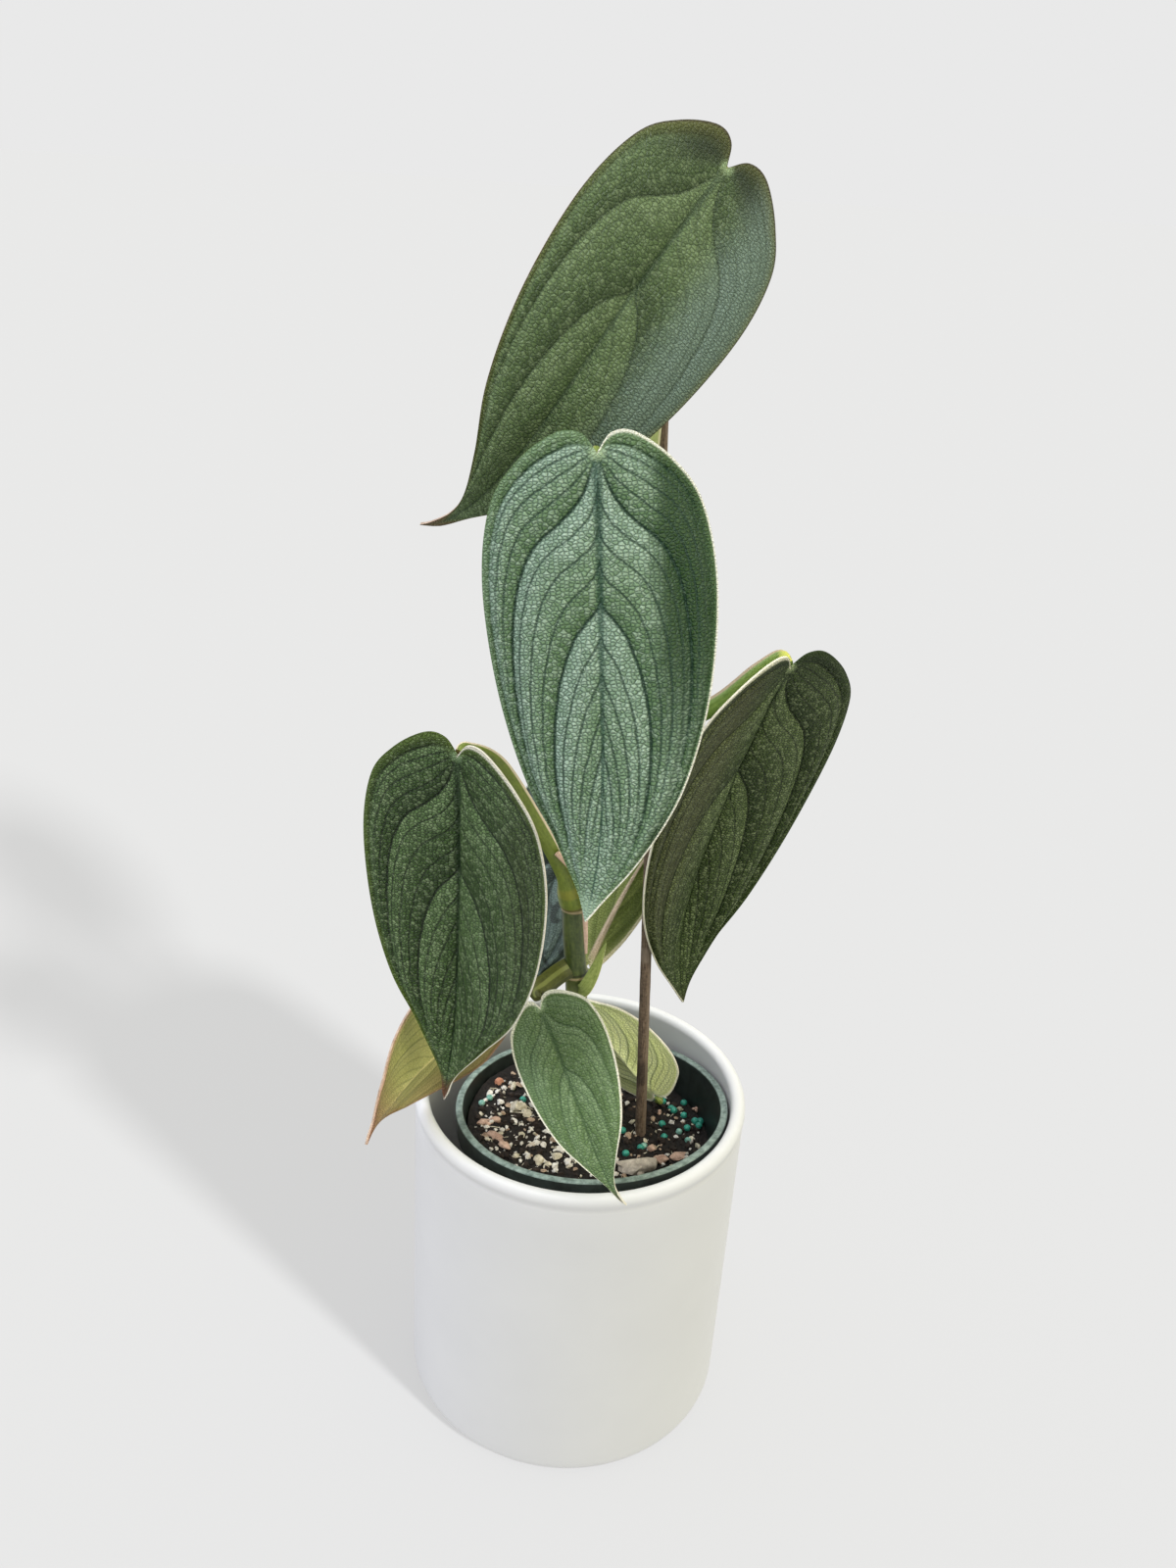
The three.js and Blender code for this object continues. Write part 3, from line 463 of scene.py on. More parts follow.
PALE_LUMPS = [(-24.3, 5.9, 8.6, 5.4, 4.4, 0.3), (-20.5, 4, 5, 3.6, 3, 1.6), (-27, 19.2, 5, 3.8, 3.2, 1.5),
              (-14.2, -22.3, 5.8, 4.4, 3.4, 2.1), (-11, -25, 4, 3, 2.6, 0.4),
              (-7.5, -18.7, 5.2, 4.2, 3.4, 0.9), (-23.3, -21.9, 3.2, 2.8, 2.4, 0.2),
              (46, 4, 3, 2.6, 2.2, 0.5), (48, -1, 3.4, 2.4, 2.2, 2.2)]
BEADS = [(34.9, 23.4), (43.7, 24), (39.3, 18), (43.4, 17), (47.7, 12.3), (50, 13.6), (34.8, 1.9), (25.2, -6),
         (19.3, -11.2), (44.3, 8), (34.2, 9.6), (-22.8, 12.5), (18.1, 2.6), (38.2, 19.8), (49.2, 10.2)]
BEADS_PALE = [(41, 6.1), (-38.8, 5.2), (44.4, 2), (26.6, -4.6), (-18, 14), (31, 24), (-36, 9)]
# Crumbled peat: dark brown crumbs that break up the black of the soil.
peat_crumb = mottled("peat_crumbs", "0a0807", "382c24", grain=1.7, roughness=0.9, relief=0.6)
# Puffed perlite: chalky grains, the brightest specks on the soil.
perlite = mottled("white_perlite", "bdb6a8", "f7f5f0", grain=1.1, roughness=0.9, relief=0.3)
# Dry lumps and fibres: cream with grey hollows, a little duller than the perlite.
cream_lump = mottled("cream_lump", "8f876c", "ece4d0", grain=2.4, roughness=0.85, relief=0.5)
# Chipped bark: dry and matt, mottled in tan, in pink or in weathered grey.
bark_tan = mottled("tan_bark", "6b5443", "cdb59c", grain=2.0, roughness=0.8, relief=0.5)
bark_pink = mottled("pink_bark", "8d6a5a", "e2c3ae", grain=2.4, roughness=0.8, relief=0.5)
bark_grey = mottled("grey_bark", "9a8f82", "ddd3c5", grain=2.6, roughness=0.85, relief=0.6)
# Fired clay: one dull orange ball.
fired_clay = mottled("fired_clay", "9a6247", "d39b7c", grain=1.4, roughness=0.85, relief=0.3)
# Resin coat of the fertiliser: smooth teal beads with a small light on each, some of them paler.
bead_coat = mottled("teal_bead_coat", "1a6f62", "45b39c", grain=2.0, roughness=0.35, relief=0.1)
bead_coat_pale = mottled("pale_bead_coat", "4f8f80", "a5cfc0", grain=2.0, roughness=0.4, relief=0.1)
scatter("peat_crumbs", soil_places(1000, 1.0, 3.4), peat_crumb, 0.10)
scatter("perlite_grains",
        soil_places(260, 0.6, 3.0) + soil_places(170, 0.7, 3.6, 0.7, (-20, -4), 26), perlite, 0.14)
scatter("cream_grains", soil_places(120, 0.8, 3.8, 0.6), cream_lump, 0.15)
scatter("bark_crumbs", soil_places(110, 1.2, 4.2, 0.5), bark_tan, 0.09)
scatter("pale_fibres",
        [(x, y, 2 + 1.6 * size, 0.5, 0.5, turn) for x, y, size, _, _, turn in soil_places(70, 1, 4)],
        cream_lump, 0.04)
scatter("bark_grey", BARK_GREY, bark_grey, 0.09)
scatter("bark_pink", BARK_PINK, bark_pink, 0.09)
scatter("pale_lumps", PALE_LUMPS, cream_lump, 0.09)
scatter("clay_balls", [(-33, 19.9, 4, 3.8, 3.8, 0)], fired_clay, 0.03, round_form=True)
scatter("fertiliser_beads", [(x, y, 3, 2.9, 2.9, 0) for x, y in BEADS], bead_coat, 0.02, round_form=True)
scatter("pale_beads", [(x, y, 2.8, 2.7, 2.6, 0) for x, y in BEADS_PALE], bead_coat_pale, 0.02,
        round_form=True)


# Stake: a thin stick of wood in its bark, dull brown and streaked where it has weathered. It is pushed into
# the soil beside the stem and leans a little to the left.
STAKE_FOOT = (29.1, 4.0, 45)
STAKE_TOP = (10.2, -2.5, 411)
STAKE_RADII = (2.3, 1.6)
STAKE_LENGTH = 366
STAKE_WOBBLE = 0.03

# The way from the front of a stick or stalk through to its back.
FACING = np.array([0, 0.9, -0.42]) / np.linalg.norm([0, 0.9, -0.42])


def smooth_through(points, steps):
    """Points of a smooth curve through the given points."""
    p = np.array(points, float)
    p = np.vstack([2 * p[0] - p[1], p, 2 * p[-1] - p[-2]])
    u = np.linspace(0, 1, steps, endpoint=False)[:, None]
    runs = []
    for a, b, c, d in zip(p[:-3], p[1:-2], p[2:-1], p[3:]):
        runs.append(0.5 * (2 * b + (c - a) * u + (2 * a - 5 * b + 4 * c - d) * u ** 2
                           + (3 * b - a - 3 * c + d) * u ** 3))
    return np.vstack(runs + [p[-2:-1]])


def at_shares(line, share):
    """Points at shares of a line's length."""
    gone = np.concatenate([[0], np.cumsum(np.linalg.norm(np.diff(line, axis=0), axis=1))])
    return np.stack([np.interp(share * gone[-1], gone, line[:, k]) for k in range(line.shape[1])], -1)


def tube(name, line, section, sides, made, last_direction=None):
    """A closed tube along a line. section gives each ring's half breadth, half depth and outline. The UV
    map gives the share of the way round, from the breadth's side by the far side, and the share of the way
    along."""
    last = len(line) - 1
    angles = 2 * np.pi * np.arange(sides) / sides
    rings = []
    for i, point in enumerate(line):
        tangent = line[min(i + 1, last)] - line[max(i - 1, 0)]
        if i == last and last_direction is not None:
            tangent = np.array(last_direction)
        tangent = tangent / np.linalg.norm(tangent)
        depth = FACING - tangent * (FACING @ tangent)
        depth /= np.linalg.norm(depth)
        breadth = np.cross(tangent, depth)
        half_breadth, half_depth, outline = section(i / last, point)
        rings.append(point + (half_breadth * outline * np.cos(angles))[:, None] * breadth
                     + (half_depth * outline * np.sin(angles))[:, None] * depth)
    faces = ring_faces(last + 1, sides) + [tuple(range(sides - 1, -1, -1)),
                                           tuple(range(last * sides, (last + 1) * sides))]
    piece = mesh_piece(name, np.concatenate(rings), faces, [made], crease=60)
    layer = piece.data.uv_layers.new(name="skin")
    row, column = np.divmod(np.arange(last * sides), sides)
    corners = np.stack([np.stack([(column + c) / sides, (row + r) / last], -1)
                        for c, r in ((0, 0), (1, 0), (1, 1), (0, 1))], 1).reshape(-1)
    values = np.zeros(2 * len(piece.data.loops), np.float32)
    values[:len(corners)] = corners
    layer.data.foreach_set("uv", values)
    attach(piece, "root")
    return piece


STREAKS_ROUND = 16
STREAKS_PER_MM = 0.12
SPECKLE = 1.1


def drawn_skin(name, low, high, length, bands=(), roughness=0.45, relief=0.2, speckle=0.35):
    """A skin drawn out along its piece, from a low to a high tone, with its length and relief in
    millimetres. Each band lies round or along it at a share, with its half width, colour and strength."""
    made, tree, shader = material(name, roughness)
    skin = add_node(tree, "UVMap", uv_map="skin")
    shares = add_node(tree, "SeparateXYZ", skin).node.outputs
    place = add_node(tree, "TexCoord", out="Object")
    drawn = add_node(tree, "VectorMath", skin, (STREAKS_ROUND, length * STREAKS_PER_MM, 0),
                     operation="MULTIPLY")
    streaks = add_node(tree, "TexNoise", {"Vector": drawn, "Scale": 1.6, "Detail": 5, "Roughness": 0.65})
    spots = add_node(tree, "TexNoise", {"Vector": place, "Scale": 1 / (SPECKLE * MM), "Detail": 2})
    both = add_node(tree, "Mix", speckle, {2: streaks, 3: spots})
    spread = add_node(tree, "MapRange", both, 0.32, 0.66)
    tone = add_node(tree, "Mix", {0: spread, 6: linear(low), 7: linear(high)}, out=2, data_type="RGBA")
    for way, centre, half, colour, strength in bands:
        off = add_node(tree, "Math", shares["X" if way == "round" else "Y"], centre, operation="SUBTRACT")
        away = add_node(tree, "Math", off, operation="ABSOLUTE")
        share = add_node(tree, "MapRange", away, half, half * 0.5, 0.0, strength,
                         interpolation_type="SMOOTHSTEP")
        tone = add_node(tree, "Mix", {0: share, 6: tone, 7: linear(colour)}, out=2, data_type="RGBA")
    tree.links.new(tone, shader.inputs["Base Color"])
    bump = add_node(tree, "Bump", {"Height": both, "Distance": relief * MM, "Strength": 0.6})
    tree.links.new(bump, shader.inputs["Normal"])
    return made


# Weathered bark: dull brown, drawn out in grey and dark streaks along the stick.
stake_bark = drawn_skin("weathered_bark", "2a221c", "85715d", STAKE_LENGTH, [
    ("along", 0.28, 0.02, "241d18", 0.6), ("along", 0.43, 0.012, "8f8070", 0.6),
    ("round", 0.62, 0.08, "7d6e5d", 0.5),
], roughness=0.85, relief=0.4)
stake_line = np.linspace(STAKE_FOOT, STAKE_TOP, 120)
stake_wobble = rng.normal(0, STAKE_WOBBLE, 121)


def stake_section(share, point):
    """The stake's half breadth, half depth and outline at a share of its length."""
    radius = STAKE_RADII[0] + (STAKE_RADII[1] - STAKE_RADII[0]) * share + stake_wobble[int(share * 119)]
    return radius, radius, 1.0


stake = tube("stake_stick", stake_line, stake_section, 20, stake_bark)
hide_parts("stake")


# Stem: a jointed living stem, a little thicker than a pencil, that stands in the soil. Its skin is smooth and
# dark green with pale streaks, and each node is a tan ring of scar cork.
STEM_PATH = [(-1.5, 3.5, 84, 3.4), (-1, 2.5, 116, 4.1), (-2.5, 0, 150, 4.2), (-4.5, -2, 190, 4.1),
             (-7.4, -3.6, 222, 3.9), (-4.5, -1.5, 248, 3.5), (2, 1, 280, 3.2), (6.3, 0, 308, 2.9),
             (7.6, -1, 333, 2.5)]
STEM_NODES = [150, 194, 223, 254, 284, 304]
STEM_LENGTH = 252
NODE_SWELL = 0.6
NODE_WIDTH = 2.2
stem_line = at_shares(smooth_through([p[:3] for p in STEM_PATH], 30), np.linspace(0, 1, 300))
stem_heights, stem_radii = zip(*[p[2:] for p in STEM_PATH])


def stem_section(share, point):
    """The stem's half breadth, half depth and outline at a point, thicker at each node."""
    swell = sum(NODE_SWELL * math.exp(-((point[2] - n) / NODE_WIDTH) ** 2) for n in STEM_NODES)
    radius = float(np.interp(point[2], stem_heights, stem_radii)) + swell
    return radius, radius, 1.0


node_shares = [float(np.interp(n, stem_line[:, 2], np.linspace(0, 1, len(stem_line)))) for n in STEM_NODES]
# Living stem skin: satin green in darker and paler streaks, yellower low down, with a tan line of cork and a
# dark one at each node.
stem_bands = [("along", 0.33, 0.13, "6f7a35", 0.7), ("round", 0.53, 0.05, "7c8246", 0.6),
              ("round", 0.97, 0.06, "2b3519", 0.6)]
stem_bands += [("along", share, 0.0028, "b29d78", 0.75) for share in node_shares]
stem_bands += [("along", share + 0.005, 0.0022, "231f12", 0.7) for share in node_shares]
stem_skin = drawn_skin("stem_skin", "2c3a1b", "56652f", STEM_LENGTH, stem_bands, roughness=0.4)
stem = tube("stem_jointed", stem_line, stem_section, 28, stem_skin)
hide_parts("stem")


# Leaves: nine living blades, heart-shaped, with sunken veins and quilted between them. Each hangs by its
# stalk. The upper face is satin and silvery between dark veins, with painted light and painted shade beside
# the main veins, the underside pale, and the margin is a thin cream line, partly a painted highlight.

# Half of a blade's margin, from the sinus round the lobe to the tip, in shares of its length and half
# breadth.
MARGIN = [(0, 0), (-0.95, 0.13), (-1, 0.34), (0.01, 0.66), (0.1, 0.9), (0.27, 1), (0.5, 0.92), (0.7, 0.7),
          (0.85, 0.37), (0.94, 0.13), (1, 0)]
WEDGE_REACH = 0.45
BLADE_THICKNESS = 1.0
MARGIN_THICKNESS = 0.7
FULL_HALF = 33
BROAD_HALF = 28
BROAD_GRID = 0.75
SMALL_GRID = 0.65

# base is the sinus, in millimetres, and angles are in degrees. heading, pitch and roll lay the blade, and
# half is its half breadth. skew makes one half broader, lobe, wedge and tail shape the ends, bend and curl
# let it droop, sway and hook turn it aside, twist turns it about its midrib, rise lifts each half, and cup
# hollows it.
LEAVES = {
    "top": dict(base=(21.8, -19, 469.9), heading=-124, pitch=-46, roll=-51.5, length=138.9, half=29.6,
                skew=0.08, lobe=0.05, tail=0.1, bend=46, curl=32, sway=17, hook=-47, twist=2, rise=(5, 8),
                cup=0.16),
    "middle": dict(base=(-8.5, -63.9, 399.1), heading=-79, pitch=-64.5, roll=11, length=128.4, half=32.4,
                   skew=-0.03, lobe=0.045, tail=0, bend=16, curl=-15, sway=-1, hook=-17, twist=22,
                   rise=(-3, 1), cup=0.18),
    "left": dict(base=(-46.3, -44.7, 299.1), heading=-114, pitch=-94.5, roll=1.5, length=133.6, half=36.5,
                 skew=0.09, lobe=0.045, tail=0.06, bend=-9, curl=-7, sway=1, hook=-3, twist=-4,
                 rise=(21, 11), cup=0.03),
    "right": dict(base=(60.7, 3.1, 318.5), heading=154.5, pitch=-67, roll=-153, length=143.4, half=39.8,
                  skew=-0.07, lobe=0.045, tail=0, bend=-23, curl=-22, sway=-13, hook=18, twist=2,
                  rise=(11, 15), cup=0.02),
    "front": dict(base=(-16.8, -28.2, 195.3), heading=-70, pitch=-23.5, roll=29, length=78, half=17.5,
                  skew=0.09, lobe=0.05, tail=0.12, bend=32, curl=45, sway=-12, hook=23, twist=13,
                  rise=(7, 6), cup=0.09),
    "low_left": dict(base=(-31.4, 5.2, 167.8), heading=-137, pitch=-9.5, roll=90.5, length=79.5, half=26.3,
                     skew=0.06, lobe=0.045, tail=0.08, bend=23, curl=2, sway=-32, hook=-20, twist=-13,
                     rise=(11, 6), cup=-0.03),
    "low_right": dict(base=(30.3, 16.9, 125.3), heading=176.5, pitch=52, roll=73, length=60.6, half=16.3,
                      skew=0.08, lobe=0.05, tail=0.05, bend=1, curl=13, sway=3, hook=-28, twist=11,
                      rise=(12, 11), cup=-0.02),
    "inner": dict(base=(-0.1, 4.2, 193.9), heading=38.5, pitch=55, roll=-145, length=64.6, half=11, skew=0.03,
                  lobe=0.015, tail=0.05, wedge=0.5, bend=22, curl=-1, sway=13, hook=8, twist=0, rise=(13, 20),
                  cup=0.05),
    "rear": dict(base=(-5, 37.1, 253.9), heading=-142, pitch=-70.5, roll=-31, length=95.4, half=24.3,
                 skew=-0.01, lobe=0.045, tail=0.04, bend=8, curl=1, sway=3, hook=-6, twist=1, rise=(8, 8),
                 cup=0.08),
}


def margin_line(leaf, side, share):
    """Places along the blade and across it at shares of one half's margin, in millimetres."""
    slim = [1 - leaf.get("wedge", 0) * max(0, 1 - max(x, 0) / WEDGE_REACH) for x, _ in MARGIN]
    outline = [[x * leaf["lobe"] if i in (1, 2) else x, y * slim[i]] for i, (x, y) in enumerate(MARGIN)]
    tail = leaf["tail"]
    if tail > 0:
        for point in outline[3:]:
            point[0] *= 1 - tail
        outline[-2] = [(1 - tail) * 0.97, 0.1]
        outline[-1] = [1 - 0.45 * tail, 0.035]
        outline.append([1, 0])
    line = at_shares(smooth_through(outline, 40), share)
    return line * [leaf["length"], side * leaf["half"] * (1 + side * leaf["skew"])]


MIDRIB_STEPS = 60
STEPS_BEFORE = 6
STEPS_PAST = 2


def midrib_frames(leaf, distance):
    """The point, the direction across and the direction up at distances along the midrib. The lobes reach
    back before the sinus, so the midrib's line is carried on at both ends."""
    share = np.arange(-STEPS_BEFORE, MIDRIB_STEPS + STEPS_PAST + 1) / MIDRIB_STEPS
    past = np.maximum(share, 0) ** 6
    down = np.radians(leaf["bend"]) * share + np.radians(leaf["curl"]) * past
    aside = np.radians(leaf["sway"]) * (share - 0.5) + np.radians(leaf["hook"]) * past
    along = np.stack([np.cos(down) * np.cos(aside), np.sin(aside), -np.sin(down) * np.cos(aside)], -1)
    up = np.stack([np.sin(down), 0 * down, np.cos(down)], -1)
    across = np.cross(up, along)
    steps = (along[1:] + along[:-1]) / 2 * leaf["length"] / MIDRIB_STEPS
    point = np.concatenate([[[0, 0, 0]], np.cumsum(steps, axis=0)])
    point -= point[STEPS_BEFORE]
    wanted = distance / leaf["length"]
    point, up, across = (np.stack([np.interp(wanted, share, a[:, k]) for k in range(3)], -1)
                         for a in (point, up, across))
    turned_by = np.radians(leaf["twist"]) * wanted
    c, s = np.cos(turned_by)[:, None], np.sin(turned_by)[:, None]
    return point, across * c + up * s, up * c - across * s


def blade_axes(leaf):
    """The blade's own axes: along the midrib, to its left, and up from its upper face."""
    a, e, g = (math.radians(leaf[k]) for k in ("heading", "pitch", "roll"))
    along = np.array([math.cos(e) * math.cos(a), math.cos(e) * math.sin(a), math.sin(e)])
    flat = np.array([-math.sin(a), math.cos(a), 0])
    over = np.cross(along, flat)
    return along, flat * math.cos(g) + over * math.sin(g), over * math.cos(g) - flat * math.sin(g)


# Veins run in one family of arcs. Rank 1 and more leave the midrib further toward the tip, ranks 0 and -1
# fan out from the sinus, and -2 is the margin. fan says how far out an arc starts at the sinus, reach how
# far out it ends, and rate and delay how soon it gets there. The slope, in ranks per millimetre, turns a
# rank into a real width, so that a vein is as wide on any blade.
RANK_STEP = 0.31
RANKS = np.linspace(-2.6, 3.3, 260)
ARC_REACH = ([-2.6, -1, 0, 1, 3.3], [1.02, 0.95, 0.93, 0.88, 0.86])
ARC_FAN = ([-2.6, -2, -1, 0, 0.25, 0.5, 1], [1.02, 0.97, 0.68, 0.27, 0.12, 0.04, 0])
ARC_RATE = ([-2.6, -2, -1, 0, 0.25, 0.5, 1, 2, 3.3], [60, 26, 9, 5.5, 4.5, 3.2, 2.2, 1.8, 1.5])
ARC_DELAY = ([-2, -1, 0, 0.25, 0.5, 1], [1, 1.2, 2, 1.6, 1.3, 1.2])

# Depth of the main veins' creases in millimetres on a full-grown blade, and each blade's share of it.
MAIN_RANKS = {-1: 1.0, 0: 1.5, 1: 1.3, 2: 0.2}
CREASE_WIDTH = 2.0
PANEL_SWELL = 0.7
MINOR_STEP = 0.25
MINOR_DEPTH = 0.13
MIDRIB_DEPTH = 1.5
MIDRIB_WIDTH = 2.2
KEEL_HEIGHT = 1.1
KEEL_WIDTH = 1.5
QUILT = {"top": 0.4, "left": 0.5, "right": 0.75, "front": 0.45, "low_left": 0.5, "low_right": 0.5,
         "inner": 0.6}

# The half of a blade whose margin shows its pale edge, partly the margin's own cream and partly a painted
# highlight: 1 is its left, -1 its right, and it is both elsewhere.
PALE_SIDE = {"middle": 1, "left": 1, "right": -1, "inner": 1}


def vein_rank(t, r):
    """The rank of the arc that passes each point of a grid of rows t and half shares r."""
    start = np.maximum(RANKS, 0) * RANK_STEP
    reach = np.interp(RANKS, *ARC_REACH)
    rate = np.exp(np.interp(RANKS, ARC_RATE[0], np.log(ARC_RATE[1])))
    delay, fan = np.interp(RANKS, *ARC_DELAY), np.interp(RANKS, *ARC_FAN)
    ranks = np.empty_like(r)
    for i, row in enumerate(t):
        gone = np.maximum(row - start, 0) / (1 - np.minimum(start, RANK_STEP))
        share = fan * (1 - np.exp(-gone / np.maximum(0.25 * RANKS, 0.004)))
        share = share + (reach - fan) * (1 - np.exp(-rate * gone ** delay)) - 1e-6 * np.arange(len(RANKS))
        ranks[i] = np.interp(-np.abs(r[i]), -share, RANKS)
    return ranks


def blade_piece(name, leaf, upper, lower, rim, cell, quilt, pale_side):
    """A closed blade with both faces on one grid, its veins sunk in, a keel under its midrib, and its own
    coordinates as UV maps: vein rank and way along, plan, distance to the margin, and ranks per
    millimetre."""
    t = np.linspace(0.004, 0.997, int(1.15 * leaf["length"] / cell))
    r = np.linspace(-1, 1, 2 * int(leaf["half"] / cell) + 1)
    rows, columns = len(t), len(r)
    T, R = np.meshgrid(t, r, indexing="ij")
    rank = vein_rank(t, R)
    left_edge, right_edge = (margin_line(leaf, side, t)[:, None] for side in (1, -1))
    edge = np.where((R >= 0)[..., None], left_edge, right_edge)
    share = np.abs(R)
    x = (1 - share) * T * leaf["length"] + share * edge[..., 0]
    y = share * edge[..., 1]
    local_half = np.abs(edge[..., 1])
    size = leaf["half"] / FULL_HALF

    # How many ranks lie in a millimetre at each point of the grid
    (rank_t, rank_r), (x_t, x_r), (y_t, y_r) = (np.gradient(values) for values in (rank, x, y))
    area = np.where(np.abs(x_t * y_r - x_r * y_t) < 1e-3, 1e-3, x_t * y_r - x_r * y_t)
    slope = np.hypot((rank_t * y_r - rank_r * y_t) / area, (rank_r * x_t - rank_t * x_r) / area)
    slope = np.clip(slope, 0.02, 2)

    # Relief of the upper face: the midrib and the veins sink in, the panels between the main veins swell,
    # and all of it fades toward the sinus and the tip.
    narrow = np.minimum(1, local_half / (0.45 * leaf["half"]))
    fade = np.minimum(1, np.minimum(9 * T, 5 * (1 - T))) * narrow * size
    relief = -MIDRIB_DEPTH * np.exp(-np.abs(y) / MIDRIB_WIDTH)
    for k, depth in MAIN_RANKS.items():
        born = 1 / (1 + np.exp(-(T - RANK_STEP * max(k, 0) - 0.03) * 60))
        relief = relief - depth * quilt * born * np.exp(-np.abs(rank - k) / slope / CREASE_WIDTH)
    panel = np.abs(np.sin(np.pi * rank)) * np.clip(2.2 - rank, 0, 1) * np.clip(rank + 2.6, 0, 1)
    minor = np.abs(rank / MINOR_STEP - np.round(rank / MINOR_STEP)) * MINOR_STEP / slope
    relief = (relief + PANEL_SWELL * quilt * panel) * fade
    relief = relief - MINOR_DEPTH * quilt * np.exp(-minor / 0.6) * np.minimum(1, fade)
    rise = np.tan(np.radians(np.where(R >= 0, leaf["rise"][0], leaf["rise"][1])))
    middle = np.abs(y) * rise - leaf["cup"] * (y / leaf["half"]) ** 2 * leaf["half"] + relief
    thickness = BLADE_THICKNESS + (MARGIN_THICKNESS - BLADE_THICKNESS) * share ** 2
    keel = (KEEL_HEIGHT * np.exp(-(y / KEEL_WIDTH) ** 2) * np.clip(1 - 0.9 * T, 0, 1)
            * np.minimum(1, 12 * T) * narrow)

    # The two faces laid on the bent midrib, and the rim between them
    along, left, up_axis = blade_axes(leaf)
    point, across, up = midrib_frames(leaf, x.ravel())
    points = []
    for height in (middle + thickness / 2, middle - thickness / 2 - keel):
        local = point + across * y.ravel()[:, None] + up * height.ravel()[:, None]
        points.append(np.array(leaf["base"]) + local @ np.stack([along, left, up_axis]))
    count = rows * columns
    i, j = np.meshgrid(np.arange(rows - 1), np.arange(columns - 1), indexing="ij")
    a = (i * columns + j).ravel()
    upper_faces = np.stack([a, a + columns, a + columns + 1, a + 1], -1)
    lower_faces = upper_faces[:, ::-1] + count
    ring = np.concatenate([np.arange(columns), np.arange(1, rows) * columns + columns - 1,
                           (rows - 1) * columns + np.arange(columns - 2, -1, -1),
                           np.arange(rows - 2, 0, -1) * columns])
    following = np.roll(ring, -1)
    rim_faces = np.stack([ring, following, following + count, ring + count], -1)
    rim_kinds = np.where(R.ravel()[ring] * pale_side >= 0, 2, 0)
    faces = np.concatenate([upper_faces, lower_faces, rim_faces])
    kinds = np.concatenate([np.zeros(len(upper_faces)), np.ones(len(lower_faces)), rim_kinds])
    piece = mesh_piece(name, np.concatenate(points), faces.tolist(), [upper, lower, rim], kinds, crease=55)
    loops = np.empty(len(piece.data.loops), np.int32)
    piece.data.loops.foreach_get("vertex_index", loops)
    blade_maps = {"veins": (rank, T * leaf["length"]), "plan": (y, x), "edge": ((1 - share) * local_half, T),
                  "slope": (slope, share)}
    for map_name, (u, v) in blade_maps.items():
        values = np.stack([np.tile(u.ravel(), 2), np.tile(v.ravel(), 2)], -1)[loops]
        piece.data.uv_layers.new(name=map_name).data.foreach_set("uv", values.astype(np.float32).ravel())
    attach(piece, "root")
    return piece


# The net of a real blade has cells well under a millimetre across, too fine to show. They are drawn
# coarser, as wide and tall as this, with grain to match. The larger patches have their real size.
CELL_WIDE = 1.35
CELL_TALL = 1.0
CELL_RELIEF = 0.4
GRAIN = 0.8
PATCH = 4.4
CLOUD = 18
FOLD_SHADE_SIZE = 9

# Millimetres from the middle of a line or spot, or from the margin: where its tint ends, and where it is
# full.
MAIN_VEIN = (0.75, 0.1)
MINOR_VEIN = (0.5, 0.1)
MIDRIB_LINE = (1.3, 0.5)
SINUS_SPOT = (3.0, 0.8)
EDGE_TINT = (1.4, -1.8)

# Ranks per millimetre where veins lie so close that they are drawn faint, and where they are drawn in full.
CLOSE_VEINS = (0.24, 0.09)


